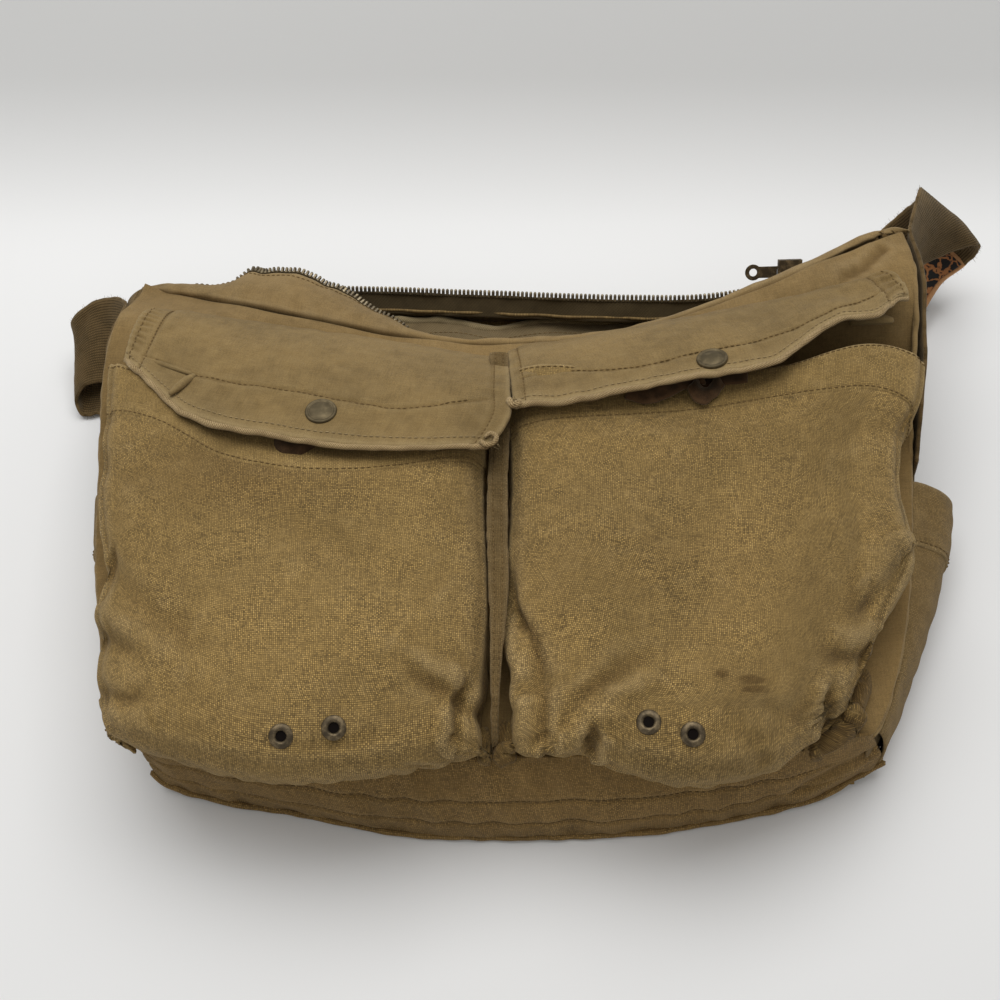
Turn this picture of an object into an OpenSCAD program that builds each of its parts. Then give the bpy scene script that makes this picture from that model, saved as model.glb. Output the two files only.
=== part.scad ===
// Canvas messenger bag with two flapped front pockets, two side pockets, an open
// zipped mouth and a webbing shoulder strap. The bag lies on its back.
// Millimetres. +X runs to the bag's left hand corner as it lies, +Y towards the
// mouth, +Z out of the front. The origin is the middle of the back's resting face.

/* [Main compartment] */
// Width across the mouth
body_w = 432; // [410:1:450]
// Width between the two bottom corners
base_w = 328; // [310:1:345]
// Height from the bottom corners' line to the mouth, plus the turn of the base
body_h = 300; // [285:1:315]
// Thickness of the main compartment as it lies
body_d = 50; // [46:1:56]
// How far the base bows out between its corners
base_bow = 26; // [20:1:30]
// Canvas with its lining
canvas_t = 2; // [1.6:0.1:2.4]
// How far the right corner of the mouth stands up
corner_lift = 40; // [30:1:44]
// How far the left corner of the mouth stands up
corner_lift_left = 6; // [2:1:12]
// How far the front stands up along the flaps' seam
seam_rise = 15; // [10:1:18]
// How far the front hangs down at the middle of the mouth
lip_sag = 10; // [6:1:12]

/* [Front pockets] */
// Height of a front pocket from its bottom seam to its mouth
pocket_h = 195; // [185:1:200]
// How far a front pocket stands off the front panel
pocket_d = 36; // [33:1:40]
// Distance from the side of the bag to a pocket's outer seam
pocket_inset = 9; // [7:1:12]
// Gap between the two pockets, which holds the centre welt
pocket_gap = 8; // [7:0.5:10]
// Depth of the hem round a pocket's mouth
hem_h = 42; // [36:1:44]
// Thickness of the folded hem
hem_t = 2.6; // [2.4:0.1:3]

/* [Flaps] */
// Thickness of a two-layer flap
flap_t = 2.4; // [2:0.1:2.8]
// Diameter of the piping along a flap's edge
piping_d = 3.2; // [2.8:0.1:3.6]
// Lowest y of the left flap's edge
left_edge_y = -6; // [-8:1:2]
// Lowest y of the right flap's edge, which stands up more
right_edge_y = 30; // [28:1:36]

/* [Hardware] */
// Diameter of a snap's cap
snap_d = 15; // [13:0.5:16]
// Outer diameter of a drain eyelet
eyelet_d = 10; // [9:0.5:11]
// Hole through a drain eyelet
eyelet_hole = 5.6; // [5:0.1:6.2]
// Distance between the two eyelets of a pocket
eyelet_pitch = 20; // [18:1:24]
// Spacing of the zip's teeth
tooth_pitch = 2.6; // [2.4:0.1:3]

/* [Strap] */
// Width of the webbing
web_w = 48; // [46:1:50]
// Thickness of the webbing
web_t = 1.6; // [1.4:0.1:1.8]
// Middle of the strap under the bag
strap_y = 112; // [108:1:114]
// Thickness of the shoulder pad
pad_t = 3.4; // [3:0.2:4]
// Width of the shoulder pad
pad_w = 60; // [56:1:64]

/* [Hidden] */
$fn = 48;

seam_gap = 0.4;        // slack between two sewn pieces
side_inset = 6;        // front panel's edge inside the widest line of the side
base_inset = 16;       // the same along the base
left = -1;
right = 1;

// ---------- helpers ----------
function mix(a, b, t) = a + (b - a) * t;
function smooth(a, b, x) = let (t = min(1, max(0, (x - a) / (b - a)))) t * t * (3 - 2 * t);
function steps(n) = [for (i = [0 : n]) i / n];
function unit(v) = v / norm(v);
function arch(s, n) = pow(max(0, 1 - pow(min(1, abs(s)), n)), 1 / n);

// A closed solid between two grids of points, outer and inner, of the same size.
module sheet(outer, inner) {
    rows = len(outer);
    cols = len(outer[0]);
    size = rows * cols;
    points = concat([for (r = outer) for (p = r) p], [for (r = inner) for (p = r) p]);
    function id(i, j, k) = k * size + i * cols + j;
    function quad(a, b, c, d) = [[a, b, c], [a, c, d]];
    faces = concat(
        [for (i = [0 : rows - 2]) for (j = [0 : cols - 2])
            each quad(id(i, j, 0), id(i + 1, j, 0), id(i + 1, j + 1, 0), id(i, j + 1, 0))],
        [for (i = [0 : rows - 2]) for (j = [0 : cols - 2])
            each quad(id(i, j, 1), id(i, j + 1, 1), id(i + 1, j + 1, 1), id(i + 1, j, 1))],
        [for (i = [0 : rows - 2])
            each quad(id(i, 0, 0), id(i, 0, 1), id(i + 1, 0, 1), id(i + 1, 0, 0))],
        [for (i = [0 : rows - 2])
            each quad(id(i, cols - 1, 0), id(i + 1, cols - 1, 0),
                      id(i + 1, cols - 1, 1), id(i, cols - 1, 1))],
        [for (j = [0 : cols - 2])
            each quad(id(0, j, 0), id(0, j + 1, 0), id(0, j + 1, 1), id(0, j, 1))],
        [for (j = [0 : cols - 2])
            each quad(id(rows - 1, j, 0), id(rows - 1, j, 1),
                      id(rows - 1, j + 1, 1), id(rows - 1, j + 1, 0))]);
    polyhedron(points = points, faces = faces, convexity = 8);
}

// A layer of webbing of width w along points, each given as [middle, width direction].
function tangent(path, i) =
    unit(path[min(len(path) - 1, i + 1)][0] - path[max(0, i - 1)][0]);
module layer(path, first, last, w, low, high) {
    edge = function (i, d) let (
        along = tangent(path, i),
        across = unit(path[i][1] - along * (path[i][1] * along)),
        middle = path[i][0] + cross(along, across) * d)
        [middle - across * w / 2, middle + across * w / 2];
    sheet([for (i = [first : last]) edge(i, high)], [for (i = [first : last]) edge(i, low)]);
}

// A round tube of 8 sides through a list of points.
module tube(points, d) {
    n = 8;
    last = len(points) - 1;
    ring = function (i) let (
        along = unit(points[min(last, i + 1)] - points[max(0, i - 1)]),
        side = unit(cross(along, [0, 0, 1])),
        up = cross(side, along))
        [for (k = [0 : n - 1]) points[i] + d / 2 * (side * cos(k * 360 / n) + up * sin(k * 360 / n))];
    polyhedron(
        points = [for (i = [0 : last]) each ring(i)],
        faces = concat(
            [[for (k = [0 : n - 1]) k]],
            [for (i = [0 : last - 1]) for (k = [0 : n - 1])
                each [[i * n + k, (i + 1) * n + k, (i + 1) * n + (k + 1) % n],
                      [i * n + k, (i + 1) * n + (k + 1) % n, i * n + (k + 1) % n]]],
            [[for (k = [n - 1 : -1 : 0]) last * n + k]]));
}

// Places children so that their z runs along a surface's normal at a point.
module seat(p, normal, along = [1, 0, 0]) {
    z = unit(normal);
    x = unit(along - z * (along * z));
    y = cross(z, x);
    multmatrix([[x[0], y[0], z[0], p[0]], [x[1], y[1], z[1], p[1]], [x[2], y[2], z[2], p[2]], [0, 0, 0, 1]])
        children();
}

// ---------- shape of the main compartment ----------
corner_y = -0.44 * body_h;      // where the sides meet the base
mouth_y = body_h / 2 - 10;      // where the sides end at the mouth
back_top_y = body_h / 2;        // the back panel's edge at the mouth
lean = 5;                       // the mouth stands this much to the right of the base

function half_width(y) = let (q = max(0, (y - corner_y) / (mouth_y - corner_y)))
    mix(base_w / 2, body_w / 2, sin(90 * pow(min(1, q), 0.7)));
function skew(y) = lean * (y + body_h / 2) / body_h;

// The strap lies folded in three runs under the upper part of the back, which rides over it.
pad_cloth = 0.8;                            // lining of the shoulder pad
run_gap = 0.6;                              // slack between two runs
low_run = 0.3;                              // underside of the lowest run
mid_run = low_run + web_t + run_gap;        // underside of the middle run
pad_under = mid_run + web_t + 0.5;          // underside of the shoulder pad
top_run = pad_under + pad_t + pad_cloth + 1.1;  // underside of the highest run
back_lift = top_run + web_t + 0.5;          // underside of the raised back
ramp_start = 40;
ramp_end = 64;
function back_under(y) = back_lift * min(1, max(0, (y - ramp_start) / (ramp_end - ramp_start)));
function back_z(y) = canvas_t + back_under(y);

// Outer face of the front panel, without and with the swell along the flaps' seam.
function plain_z(x, y) = body_d
    + corner_lift * smooth(40, body_w / 2, x) * smooth(20, mouth_y, y)
    + corner_lift_left * smooth(40, body_w / 2, -x) * smooth(20, mouth_y, y)
    - lip_sag * (1 - smooth(0, 150, abs(x))) * smooth(0, 100, y);
function front_z(x, y) = plain_z(x, y) + seam_rise * (smooth(-10, 85, y) - 0.9 * smooth(95, 140, y));

flap_seam_y = 92;               // the flaps' seam at the middle
function seam_y(x) = flap_seam_y
    + (mouth_y - flap_seam_y) * pow(min(1, abs(x - lean) / (body_w / 2 - side_inset)), 2.2);

// Plan of the front panel: s from -1 to 1 across, t from 0 to 1 towards the mouth.
function panel_xy(s, t, grow = 0) = let (
    y0 = mix(corner_y, mouth_y, t),
    x = s * (half_width(y0) - side_inset + grow) + skew(y0))
    [x, y0 - (base_bow - base_inset) * (1 - s * s) * pow(1 - t, 2) + (seam_y(x) - mouth_y) * pow(t, 3)];
function on_front(p, up = 0) = [p[0], p[1], front_z(p[0], p[1]) + up];

// Edge of the back panel: the sides splay out on the right and tuck in on the left.
splay = [-8, 10];
function side_splay(side) = side < 0 ? splay[0] : splay[1];
function back_side_x(side, y) = side * (half_width(y) - side_inset + side_splay(side)) + skew(y);
function base_y(s) = corner_y - base_bow * (1 - s * s);
function base_x(s) = s * (base_w / 2 - side_inset + side_splay(s) * pow(abs(s), 3)) + skew(corner_y);

// A point on a side wall's outer face: y along it, t from 0 at the back to 1 at the front.
panel_ts = concat([for (i = [0 : 9]) i / 12], [for (i = [19 : 24]) i / 24]);
edge_ys = [for (t = panel_ts) mix(corner_y, mouth_y, t)];
wall_ys = concat([for (y = edge_ys) if (y < ramp_start) y], [ramp_start],
                 [for (y = edge_ys) if (y > ramp_start && y < ramp_end) y], [ramp_end],
                 [for (y = edge_ys) if (y > ramp_end) y]);
function wall_point(side, y, t, out = 0) = let (
    top_x = side * (half_width(y) - side_inset) + skew(y),
    low = back_z(y) + seam_gap,
    high = front_z(top_x - side * 1.6 * canvas_t, y) - canvas_t - seam_gap - 0.4)
    [mix(back_side_x(side, y) - side * canvas_t, top_x, t) + side * out, y, mix(low, high, t)];

module side_wall(side) {
    ts = steps(4);
    outer = [for (y = wall_ys) [for (t = ts) wall_point(side, y, t)]];
    inner = [for (y = wall_ys) [for (t = ts) wall_point(side, y, t, -canvas_t)]];
    if (side > 0) sheet(outer, inner);
    else sheet(inner, outer);
}

module gusset_left() color([0.36, 0.29, 0.19]) side_wall(left);
module gusset_right() color([0.36, 0.29, 0.19]) side_wall(right);

module bottom_panel() color([0.34, 0.27, 0.18]) {
    inset_corner = 0.968;       // the base stops just short of the side walls
    ss = [for (i = [0 : 14]) mix(-inset_corner, inset_corner, i / 14)];
    ts = steps(5);
    bulge = 5;
    point = function (s, t, out) let (
        top = panel_xy(s, 0),
        low = [base_x(s), base_y(s) + 4],
        p = mix(low, top, t))
        [p[0], p[1] - bulge * sin(180 * t) * (1 - s * s) - out - canvas_t * 0,
         mix(back_z(base_y(s)) + seam_gap, front_z(top[0], top[1]) - canvas_t - seam_gap, t)];
    sheet([for (s = ss) [for (t = ts) point(s, t, -1)]],
          [for (s = ss) [for (t = ts) point(s, t, -1 - canvas_t)]]);
}

function back_edge_x(side, y) = back_side_x(side, min(y, mouth_y)) - side * (canvas_t + 1.2);
module back_panel() color([0.4, 0.32, 0.2]) intersection() {
    outline = concat(
        [for (i = [12 : -1 : 0]) let (y = mix(corner_y, back_top_y, i / 12))
            [back_edge_x(left, y), y]],
        [for (i = [0 : 14]) let (s = mix(-0.96, 0.96, i / 14)) [base_x(s), base_y(s)]],
        [for (i = [0 : 12]) let (y = mix(corner_y, back_top_y, i / 12))
            [back_edge_x(right, y), y]]);
    linear_extrude(height = body_d) polygon(outline);
    profile = [[-body_h, 0], [ramp_start, 0], [ramp_end, back_lift], [body_h, back_lift],
               [body_h, back_lift + canvas_t], [ramp_end, back_lift + canvas_t],
               [ramp_start, canvas_t], [-body_h, canvas_t]];
    translate([-body_w, 0, 0]) rotate([90, 0, 90]) linear_extrude(height = 2 * body_w) polygon(profile);
}

module front_panel() color([0.42, 0.34, 0.22]) {
    ss = [for (i = [0 : 16]) mix(-1, 1, i / 16)];
    sheet([for (s = ss) [for (t = panel_ts) on_front(panel_xy(s, t))]],
          [for (s = ss) [for (t = panel_ts) on_front(panel_xy(s, t), -canvas_t)]]);
}

// ---------- mouth and zip ----------
zip_left = [-150, 162, 26];     // left end of the back row of teeth
zip_right = [172, 149, 50];     // right end of the back row of teeth
zip_x = unit(zip_left - zip_right);
zip_y = unit([0, 0.6, 0.8] - zip_x * ([0, 0.6, 0.8] * zip_x));
zip_z = cross(zip_x, zip_y);
zip_length = norm(zip_left - zip_right);
tape_w = 12;
tape_t = 0.8;
tooth_h = 4;
tooth_t = 2.6;
tooth_l = 1.3;

module zip_frame() multmatrix([
    [zip_x[0], zip_y[0], zip_z[0], zip_right[0]],
    [zip_x[1], zip_y[1], zip_z[1], zip_right[1]],
    [zip_x[2], zip_y[2], zip_z[2], zip_right[2]],
    [0, 0, 0, 1]]) children();

lip_mid_y = 106;
lip_mid_z = 38;
function lip(x) = [x,
    lip_mid_y + (x < 0 ? 38 * smooth(10, 135, -x) : 32 * smooth(20, 190, x)),
    lip_mid_z + (body_d - 50) + (x < 0 ? 20 * smooth(0, 110, -x) : 24 * smooth(0, 150, x))];
function tape_dir(x) = let (
    along = unit(lip(x + 1) - lip(x - 1)),
    w = lip(x) - [x, seam_y(x), front_z(x, seam_y(x))])
    unit(w - along * (along * w));
tooth_slack = 0.45;
module at_lip(x) let (along = lip(x + 1) - lip(x - 1))
    seat(lip(x) - [0, 0, tape_t / 2], cross(along, tape_dir(x)), along) children();
function facing_edge(x, t) = mix([x, seam_y(x) + 0.6, front_z(x, seam_y(x))], lip(x), t);

mouth_half = body_w / 2 - 22;
module front_zip_facing() color([0.44, 0.36, 0.24]) {
    xs = [for (i = [0 : 18]) mix(-mouth_half, mouth_half, i / 18)];
    ts = [0, 0.25, 0.5];
    sheet([for (x = xs) [for (t = ts) facing_edge(x, t)]],
          [for (x = xs) [for (t = ts) facing_edge(x, t) - [0, 0, canvas_t]]]);
}

module zip_tape_front() color([0.3, 0.26, 0.15]) {
    xs = [for (i = [0 : 24]) mix(zip_left[0], zip_right[0], i / 24)];
    row = function (x, down) [facing_edge(x, 0.53) - [0, 0, down],
        lip(x) - tape_dir(x) * tooth_slack - [0, 0, down]];
    sheet([for (x = xs) row(x, 0)], [for (x = xs) row(x, tape_t)]);
}

module zip_teeth_front() color([0.25, 0.22, 0.16]) {
    pitch = tooth_pitch * 2;
    count = floor((zip_right[0] - zip_left[0]) / pitch) - 1;
    for (i = [0 : count]) {
        at_lip(zip_left[0] + pitch * (i + 0.5))
            translate([0, tooth_h / 2, 0]) cube([tooth_l * 2, tooth_h, tooth_t], center = true);
    }
}

function back_edge(x) = let (t = (x - zip_right[0]) / (zip_left[0] - zip_right[0]))
    mix(zip_right, zip_left, t) - zip_y * (tape_w + 0.4);
module back_zip_facing() color([0.4, 0.32, 0.2]) {
    xs = [for (i = [0 : 8]) mix(-mouth_half, mouth_half, i / 8)];
    low = function (x) [x, back_top_y + 0.5, back_z(back_top_y) - canvas_t * 0.5];
    row = function (x, out) [for (p = [low(x), back_edge(x)]) p + [0, out, -out]];
    sheet([for (x = xs) row(x, 0)], [for (x = xs) row(x, canvas_t * 0.8)]);
}

module zip_tape_back() color([0.3, 0.26, 0.15]) zip_frame()
    translate([0, -tape_w, -tape_t / 2]) cube([zip_length, tape_w - 1.2, tape_t]);

module zip_teeth_back() color([0.25, 0.22, 0.16]) zip_frame() {
    pitch = tooth_pitch * 2;
    for (i = [0 : floor(zip_length / pitch) - 1])
        translate([pitch * (i + 0.5), tooth_h / 2 - 1, 0])
            cube([tooth_l * 2, tooth_h, tooth_t], center = true);
}

slider_l = 13;
slider_w = 14;
slider_gap = 0.35;
slider_at = 8;                  // middle of the slider from the right end of the zip
module zip_stops() color([0.25, 0.22, 0.16]) {
    zip_frame() translate([-3.2, -1, -tooth_t / 2]) cube([2.6, 5, tooth_t]);
    zip_frame() translate([zip_length + 0.5, -1, -tooth_t / 2]) cube([2.4, 5, tooth_t]);
    for (x = [zip_left[0] - 2, zip_right[0] - 1])
        at_lip(x) translate([0, 2.4, 0]) cube([2.4, 4.8, tooth_t], center = true);
}

module zip_slider() color([0.2, 0.18, 0.14]) zip_frame() translate([slider_at, 0, 0]) {
    inner = tooth_t / 2 + slider_gap;
    plate = 1.1;
    low = -4.2;
    difference() {
        translate([-slider_l / 2, low, -inner - plate]) cube([slider_l, slider_w, 2 * (inner + plate)]);
        // channel for the back row of teeth, and the one for the front row
        translate([-slider_l, -1 - slider_gap, -inner]) cube([2 * slider_l, tooth_h + 2 * slider_gap, 2 * inner]);
        translate([-slider_l, 4.9, -inner]) cube([2 * slider_l, 3.4, 2 * inner]);
        // slots for the two tapes
        translate([-slider_l, low - 1, -tape_t / 2 - slider_gap])
            cube([2 * slider_l, 4, tape_t + 2 * slider_gap]);
        translate([-slider_l, 8, -tape_t / 2 - slider_gap])
            cube([2 * slider_l, 4, tape_t + 2 * slider_gap]);
    }
    // crown that carries the pull
    for (x = [-4, 4]) translate([x - 0.7, 1.4, inner + plate - 0.01]) cube([1.4, 2.4, crown_h + 0.02]);
    translate([-4.7, 1.4, inner + plate + crown_h]) cube([9.4, 2.4, 1]);
}
crown_h = 3.2;
pivot_x = 1.8;                  // the pull turns on its own end, under the crown
pivot_z = tooth_t / 2 + slider_gap + 1.1 + 1.75;
pull_l = 18;
pull_t = 1;

module zip_pull() color([0.22, 0.2, 0.15]) zip_frame()
    translate([slider_at + pivot_x, 2.6, pivot_z - pull_t / 2]) difference() {
        union() {
            translate([2.6, 0, 0]) cylinder(d = 7.6, h = pull_t);
            translate([2.6, -3.2, 0]) cube([pull_l - 2.6, 6.4, pull_t]);
            translate([pull_l, 0, 0]) cylinder(d = 9, h = pull_t);
        }
        translate([0.8, -1.6, -1]) cube([3.8, 3.2, 3]);
        translate([pull_l, 0, -1]) cylinder(d = 4.4, h = 3);
    }

// Slip pocket inside, on the back panel.
module inner_pocket() color([0.36, 0.31, 0.2]) {
    half = 128;
    depth = 8;
    cloth = 1.2;
    ss = [for (i = [0 : 12]) mix(-1, 1, i / 12)];
    ys = concat([for (i = [0 : 3]) mix(-30, ramp_start, i / 3)], [ramp_end], [90, 116, mouth_y]);
    top = function (s, y, down) [s * half + skew(y), y,
        back_z(y) + seam_gap + max(cloth, (depth * smooth(-32, -6, y) + cloth) * arch(s, 6)) - down];
    sheet([for (s = ss) [for (y = ys) top(s, y, 0)]],
          [for (s = ss) [for (y = ys) top(s, y, cloth)]]);
}

// ---------- front pockets ----------
pocket_base_y = corner_y - 6;               // bottom seam of a pocket at its middle
pocket_rise = [[0, 0.05], [0.08, 0.12], [0.16, 0.3], [0.26, 0.55], [0.36, 0.75], [0.48, 0.9],
               [0.62, 1], [0.8, 1], [1, 0.95]];
pocket_run = [[0, 0], [0.08, -0.042], [0.16, -0.058], [0.26, -0.042], [0.36, 0.008], [0.48, 0.12],
              [0.62, 0.325], [0.8, 0.66], [1, 1]];
hem_from = 1 - hem_h / pocket_h * 0.2 / 0.34;   // pocket parameter where the hem starts
function pocket_y(t) = pocket_base_y + pocket_h * lookup(t, pocket_run);
function pocket_outer_x(side, y) = side * (half_width(max(y, corner_y + 10)) - side_inset - pocket_inset) + skew(y);
function pocket_inner_x(side, y) = side * pocket_gap / 2 + skew(y);
// s from -1 at the outer seam to 1 at the centre; down is how far inside the outer face.
function pocket_point(side, s, t, down = 0) = let (
    a = 90 * (1 + s),
    n = 2 / 3.2,
    y = pocket_y(t),
    xo = pocket_outer_x(side, y) - side * down,
    xi = pocket_inner_x(side, y) + side * down,
    k = cos(a),
    x = mix(xi, xo, 0.5 + 0.5 * sign(k) * pow(abs(k), n)),
    corner = 16 * pow(abs(s), 6) * (1 - smooth(0.1, 0.5, t)),
    shift = t < 0.5 ? down * (1 - smooth(0.2, 0.5, t)) : 0,
    seat_z = front_z(x, max(y, corner_y)) + seam_gap + 0.8,
    top_z = plain_z(x, max(y, corner_y)) + pocket_d * lookup(t, pocket_rise),
    rise = (top_z - seat_z) * pow(max(0, sin(a)), n))
    [x, y + corner + shift, seat_z + max(0, rise - down) + (down > 0 ? 0 : 0.5)];
module pocket_shell(side, ts, thick) {
    ss = [for (i = [0 : 16]) mix(-1, 1, i / 16)];
    outer = [for (s = ss) [for (t = ts) pocket_point(side, s, t)]];
    inner = [for (s = ss) [for (t = ts) pocket_point(side, s, t, thick)]];
    if (side < 0) sheet(outer, inner);
    else sheet(inner, outer);
}
function pocket_normal(side, s, t) = let (
    e = 0.01,
    p = pocket_point(side, s + e, t) - pocket_point(side, s - e, t),
    q = pocket_point(side, s, t + e) - pocket_point(side, s, t - e),
    n = cross(p, q))
    unit(n[2] < 0 ? -n : n);

eyelet_t = 0.31;                // how far up the pocket's round the eyelets sit
function eyelet_s(side, k) = k * eyelet_pitch / 170;
module at_eyelet(side, k) seat(pocket_point(side, eyelet_s(side, k), eyelet_t),
    pocket_normal(side, eyelet_s(side, k), eyelet_t)) children();

module pocket_cloth(side) difference() {
    pocket_shell(side, concat([for (p = pocket_rise) if (p[0] < hem_from) p[0]], [hem_from]), canvas_t);
    for (k = [-1, 1]) at_eyelet(side, k) cylinder(d = eyelet_hole + 1.6, h = 24, center = true);
    at_stud(side) cylinder(d = stud_hole, h = 16, center = true);
}
module pocket_left() color([0.45, 0.36, 0.22]) pocket_cloth(left);
module pocket_right() color([0.45, 0.36, 0.22]) pocket_cloth(right);
module pocket_hem(side) difference() {
    pocket_shell(side, [for (i = [0 : 2]) mix(hem_from + 0.006, 1, i / 2)], hem_t);
    at_stud(side) cylinder(d = stud_hole, h = 16, center = true);
}
module pocket_left_hem() color([0.43, 0.34, 0.21]) pocket_hem(left);
module pocket_right_hem() color([0.43, 0.34, 0.21]) pocket_hem(right);

// Folded welt that stands between the two pockets.
module centre_welt() color([0.4, 0.32, 0.2]) {
    half = pocket_gap / 2 - 1;
    ys = [for (i = [0 : 10]) mix(pocket_base_y + 4, 70, i / 10)];
    row = function (y, w) [for (h = [0, 3.5]) [w + skew(y), y, front_z(0, y) + seam_gap + 0.2 + h]];
    sheet([for (y = ys) row(y, half)], [for (y = ys) row(y, -half)]);
}

module eyelet(side) for (k = [-1, 1]) at_eyelet(side, k) rotate_extrude() {
    r = eyelet_hole / 2;
    polygon([[r, -canvas_t - 2.6], [r + 0.5, -canvas_t - 2.6], [r + 0.5, 0.5], [eyelet_d / 2, 0.5],
             [eyelet_d / 2, 0.9], [eyelet_d / 2 - 0.8, 1.5], [r + 0.6, 1.5], [r, 0.9]]);
}
module eyelets_left() color([0.2, 0.16, 0.11]) eyelet(left);
module eyelets_right() color([0.2, 0.16, 0.11]) eyelet(right);
module washer(side) for (k = [-1, 1]) at_eyelet(side, k) translate([0, 0, -canvas_t - 2.4])
    difference() {
        cylinder(d = eyelet_d, h = 0.6);
        translate([0, 0, -1]) cylinder(d = eyelet_hole + 1.2, h = 3);
    }
module eyelet_washers_left() color([0.2, 0.16, 0.11]) washer(left);
module eyelet_washers_right() color([0.2, 0.16, 0.11]) washer(right);

// ---------- flaps ----------
flap_out = 6;                   // flap stands this far over the pocket
flap_outer_inset = 20;          // outer end of a flap from the side of the bag
flap_notch = [0.065, 0.125];    // inner edges part towards their free end, so both flaps can stand up
function flap_inner(side, y) = 3.6 + (side < 0 ? flap_notch[0] : flap_notch[1]) * (flap_seam_y - y);
function flap_x(side, s, y) =
    mix(side * flap_inner(side, y), side * (half_width(80) - flap_outer_inset), s) + skew(y);
function flap_edge_y(side, s) = side < 0
    ? left_edge_y + 58 * smooth(0.5, 1, s) + 13 * (1 - smooth(0, 0.33, s))
    : right_edge_y + 50 * smooth(0.5, 1, s);
function flap_top_y(s) = flap_seam_y - 1.5 + 8 * s;
extra_lift = [0, 5];            // the right flap stands further off its pocket
// s from 0 at the centre to 1 at the outer end, t from 0 at the seam to 1 at the edge
function flap_point(side, s, t, down = 0) = let (
    y = mix(flap_top_y(s), flap_edge_y(side, s), t),
    x = flap_x(side, s, y),
    xo = pocket_outer_x(side, y) + side * 7,
    xi = pocket_inner_x(side, y) - side * 5,
    span = (x - (xo + xi) / 2) / ((xo - xi) / 2),
    over = max(0.42, arch(span, 3.2)) * (pocket_d + flap_out),
    climb = smooth(0, 0.42, t),
    spring = side < 0 ? extra_lift[0] : extra_lift[1])
    [x, y, 3.2 - down + mix(front_z(x, y), plain_z(x, y) + over + spring, climb)];
module flap(side) {
    ss = steps(14);
    ts = steps(12);
    outer = [for (s = ss) [for (t = ts) flap_point(side, s, t)]];
    inner = [for (s = ss) [for (t = ts) flap_point(side, s, t, flap_t)]];
    if (side > 0) sheet(outer, inner);
    else sheet(inner, outer);
}
function flap_normal(side, s, t) = let (
    e = 0.02,
    n = cross(flap_point(side, s + e, t) - flap_point(side, s - e, t),
              flap_point(side, s, t + e) - flap_point(side, s, t - e)))
    unit(n[2] < 0 ? -n : n);
function snap_s(side) = side < 0 ? 0.45 : 0.485;  // snap's place along the flap
snap_t = 0.84;                  // and from the seam towards the edge
flap_stack = 4;                 // clear hole through the flap for the snap's shank
module at_snap(side)
    seat(flap_point(side, snap_s(side), snap_t), flap_normal(side, snap_s(side), snap_t)) children();
module flap_cloth(side) difference() {
    flap(side);
    at_snap(side) cylinder(d = flap_stack, h = 16, center = true);
}
module flap_left() color([0.41, 0.33, 0.2]) flap_cloth(left);
module flap_right() color([0.41, 0.33, 0.2]) flap_cloth(right);
module piping(side) tube([for (i = [0 : 20]) let (
    s = mix(0.02, 0.98, i / 20),
    along = (flap_point(side, s + 0.02, 1) - flap_point(side, s - 0.02, 1)) * side,
    away = unit([along[1], -along[0], 0]))
    flap_point(side, s, 1) + away * (piping_d / 2 + 0.6) - [0, 0, flap_t / 2]], piping_d);
module flap_left_piping() color([0.55, 0.46, 0.32]) piping(left);
module flap_right_piping() color([0.55, 0.46, 0.32]) piping(right);

// Snap: a domed cap with its shank, and the socket under the flap.
module snap_cap(side) at_snap(side) {
    translate([0, 0, 0.5]) rotate_extrude()
        polygon([[0, 0], [snap_d / 2 - 0.4, 0], [snap_d / 2, 0.4], [snap_d / 2 - 0.6, 1.1], [0, 1.7]]);
    translate([0, 0, -flap_t - 1]) cylinder(d = flap_stack - 0.6, h = flap_t + 1.6);
}
module snap_cap_left() color([0.3, 0.26, 0.2]) snap_cap(left);
module snap_cap_right() color([0.3, 0.26, 0.2]) snap_cap(right);
module snap_socket(side) at_snap(side) translate([0, 0, -flap_t - 2.9]) difference() {
    cylinder(d = 11, h = 2.4);
    translate([0, 0, 1.6]) cylinder(d = flap_stack - 0.2, h = 2);
    translate([0, 0, -1]) cylinder(d = 5.6, h = 2.7);
}
module snap_socket_left() color([0.3, 0.26, 0.2]) snap_socket(left);
module snap_socket_right() color([0.3, 0.26, 0.2]) snap_socket(right);

// Snap stud on the pocket's hem, through a leather patch.
function stud_xy(side) = flap_point(side, snap_s(side), snap_t);
function pocket_t(y) = lookup((y - pocket_base_y) / pocket_h,
    [for (k = [5 : 8]) [pocket_run[k][1], pocket_run[k][0]]]);
function pocket_s(side, x, y) = let (
    xi = pocket_inner_x(side, y),
    xo = pocket_outer_x(side, y),
    c = 2 * (x - xi) / (xo - xi) - 1)
    acos(sign(c) * pow(abs(c), 1.6)) / 90 - 1;
function stud_t(side) = pocket_t(stud_xy(side)[1]);
function stud_s(side) = pocket_s(side, stud_xy(side)[0], stud_xy(side)[1]);
module at_stud(side)
    seat(pocket_point(side, stud_s(side), stud_t(side)), pocket_normal(side, stud_s(side), stud_t(side))) children();
patch_t = 1.2;
stud_hole = 3.4;
patch_up = 0.4;                 // leather patches follow the curve of the pockets
module snap_stud(side) at_stud(side) {
    translate([0, 0, patch_up + patch_t + 0.3]) rotate_extrude()
        polygon([[0, 0], [5, 0], [5, 0.5], [2, 0.7], [1.8, 1.2], [2.2, 1.7], [1.6, 2.1], [0, 2.1]]);
    translate([0, 0, -hem_t - 1.6]) cylinder(d = 2.6, h = hem_t + 1.6 + patch_up + patch_t + 0.4);
}
module snap_stud_left() color([0.3, 0.26, 0.2]) snap_stud(left);
module snap_stud_right() color([0.3, 0.26, 0.2]) snap_stud(right);
patch_size = [[34, 30], [52, 34]];
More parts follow.
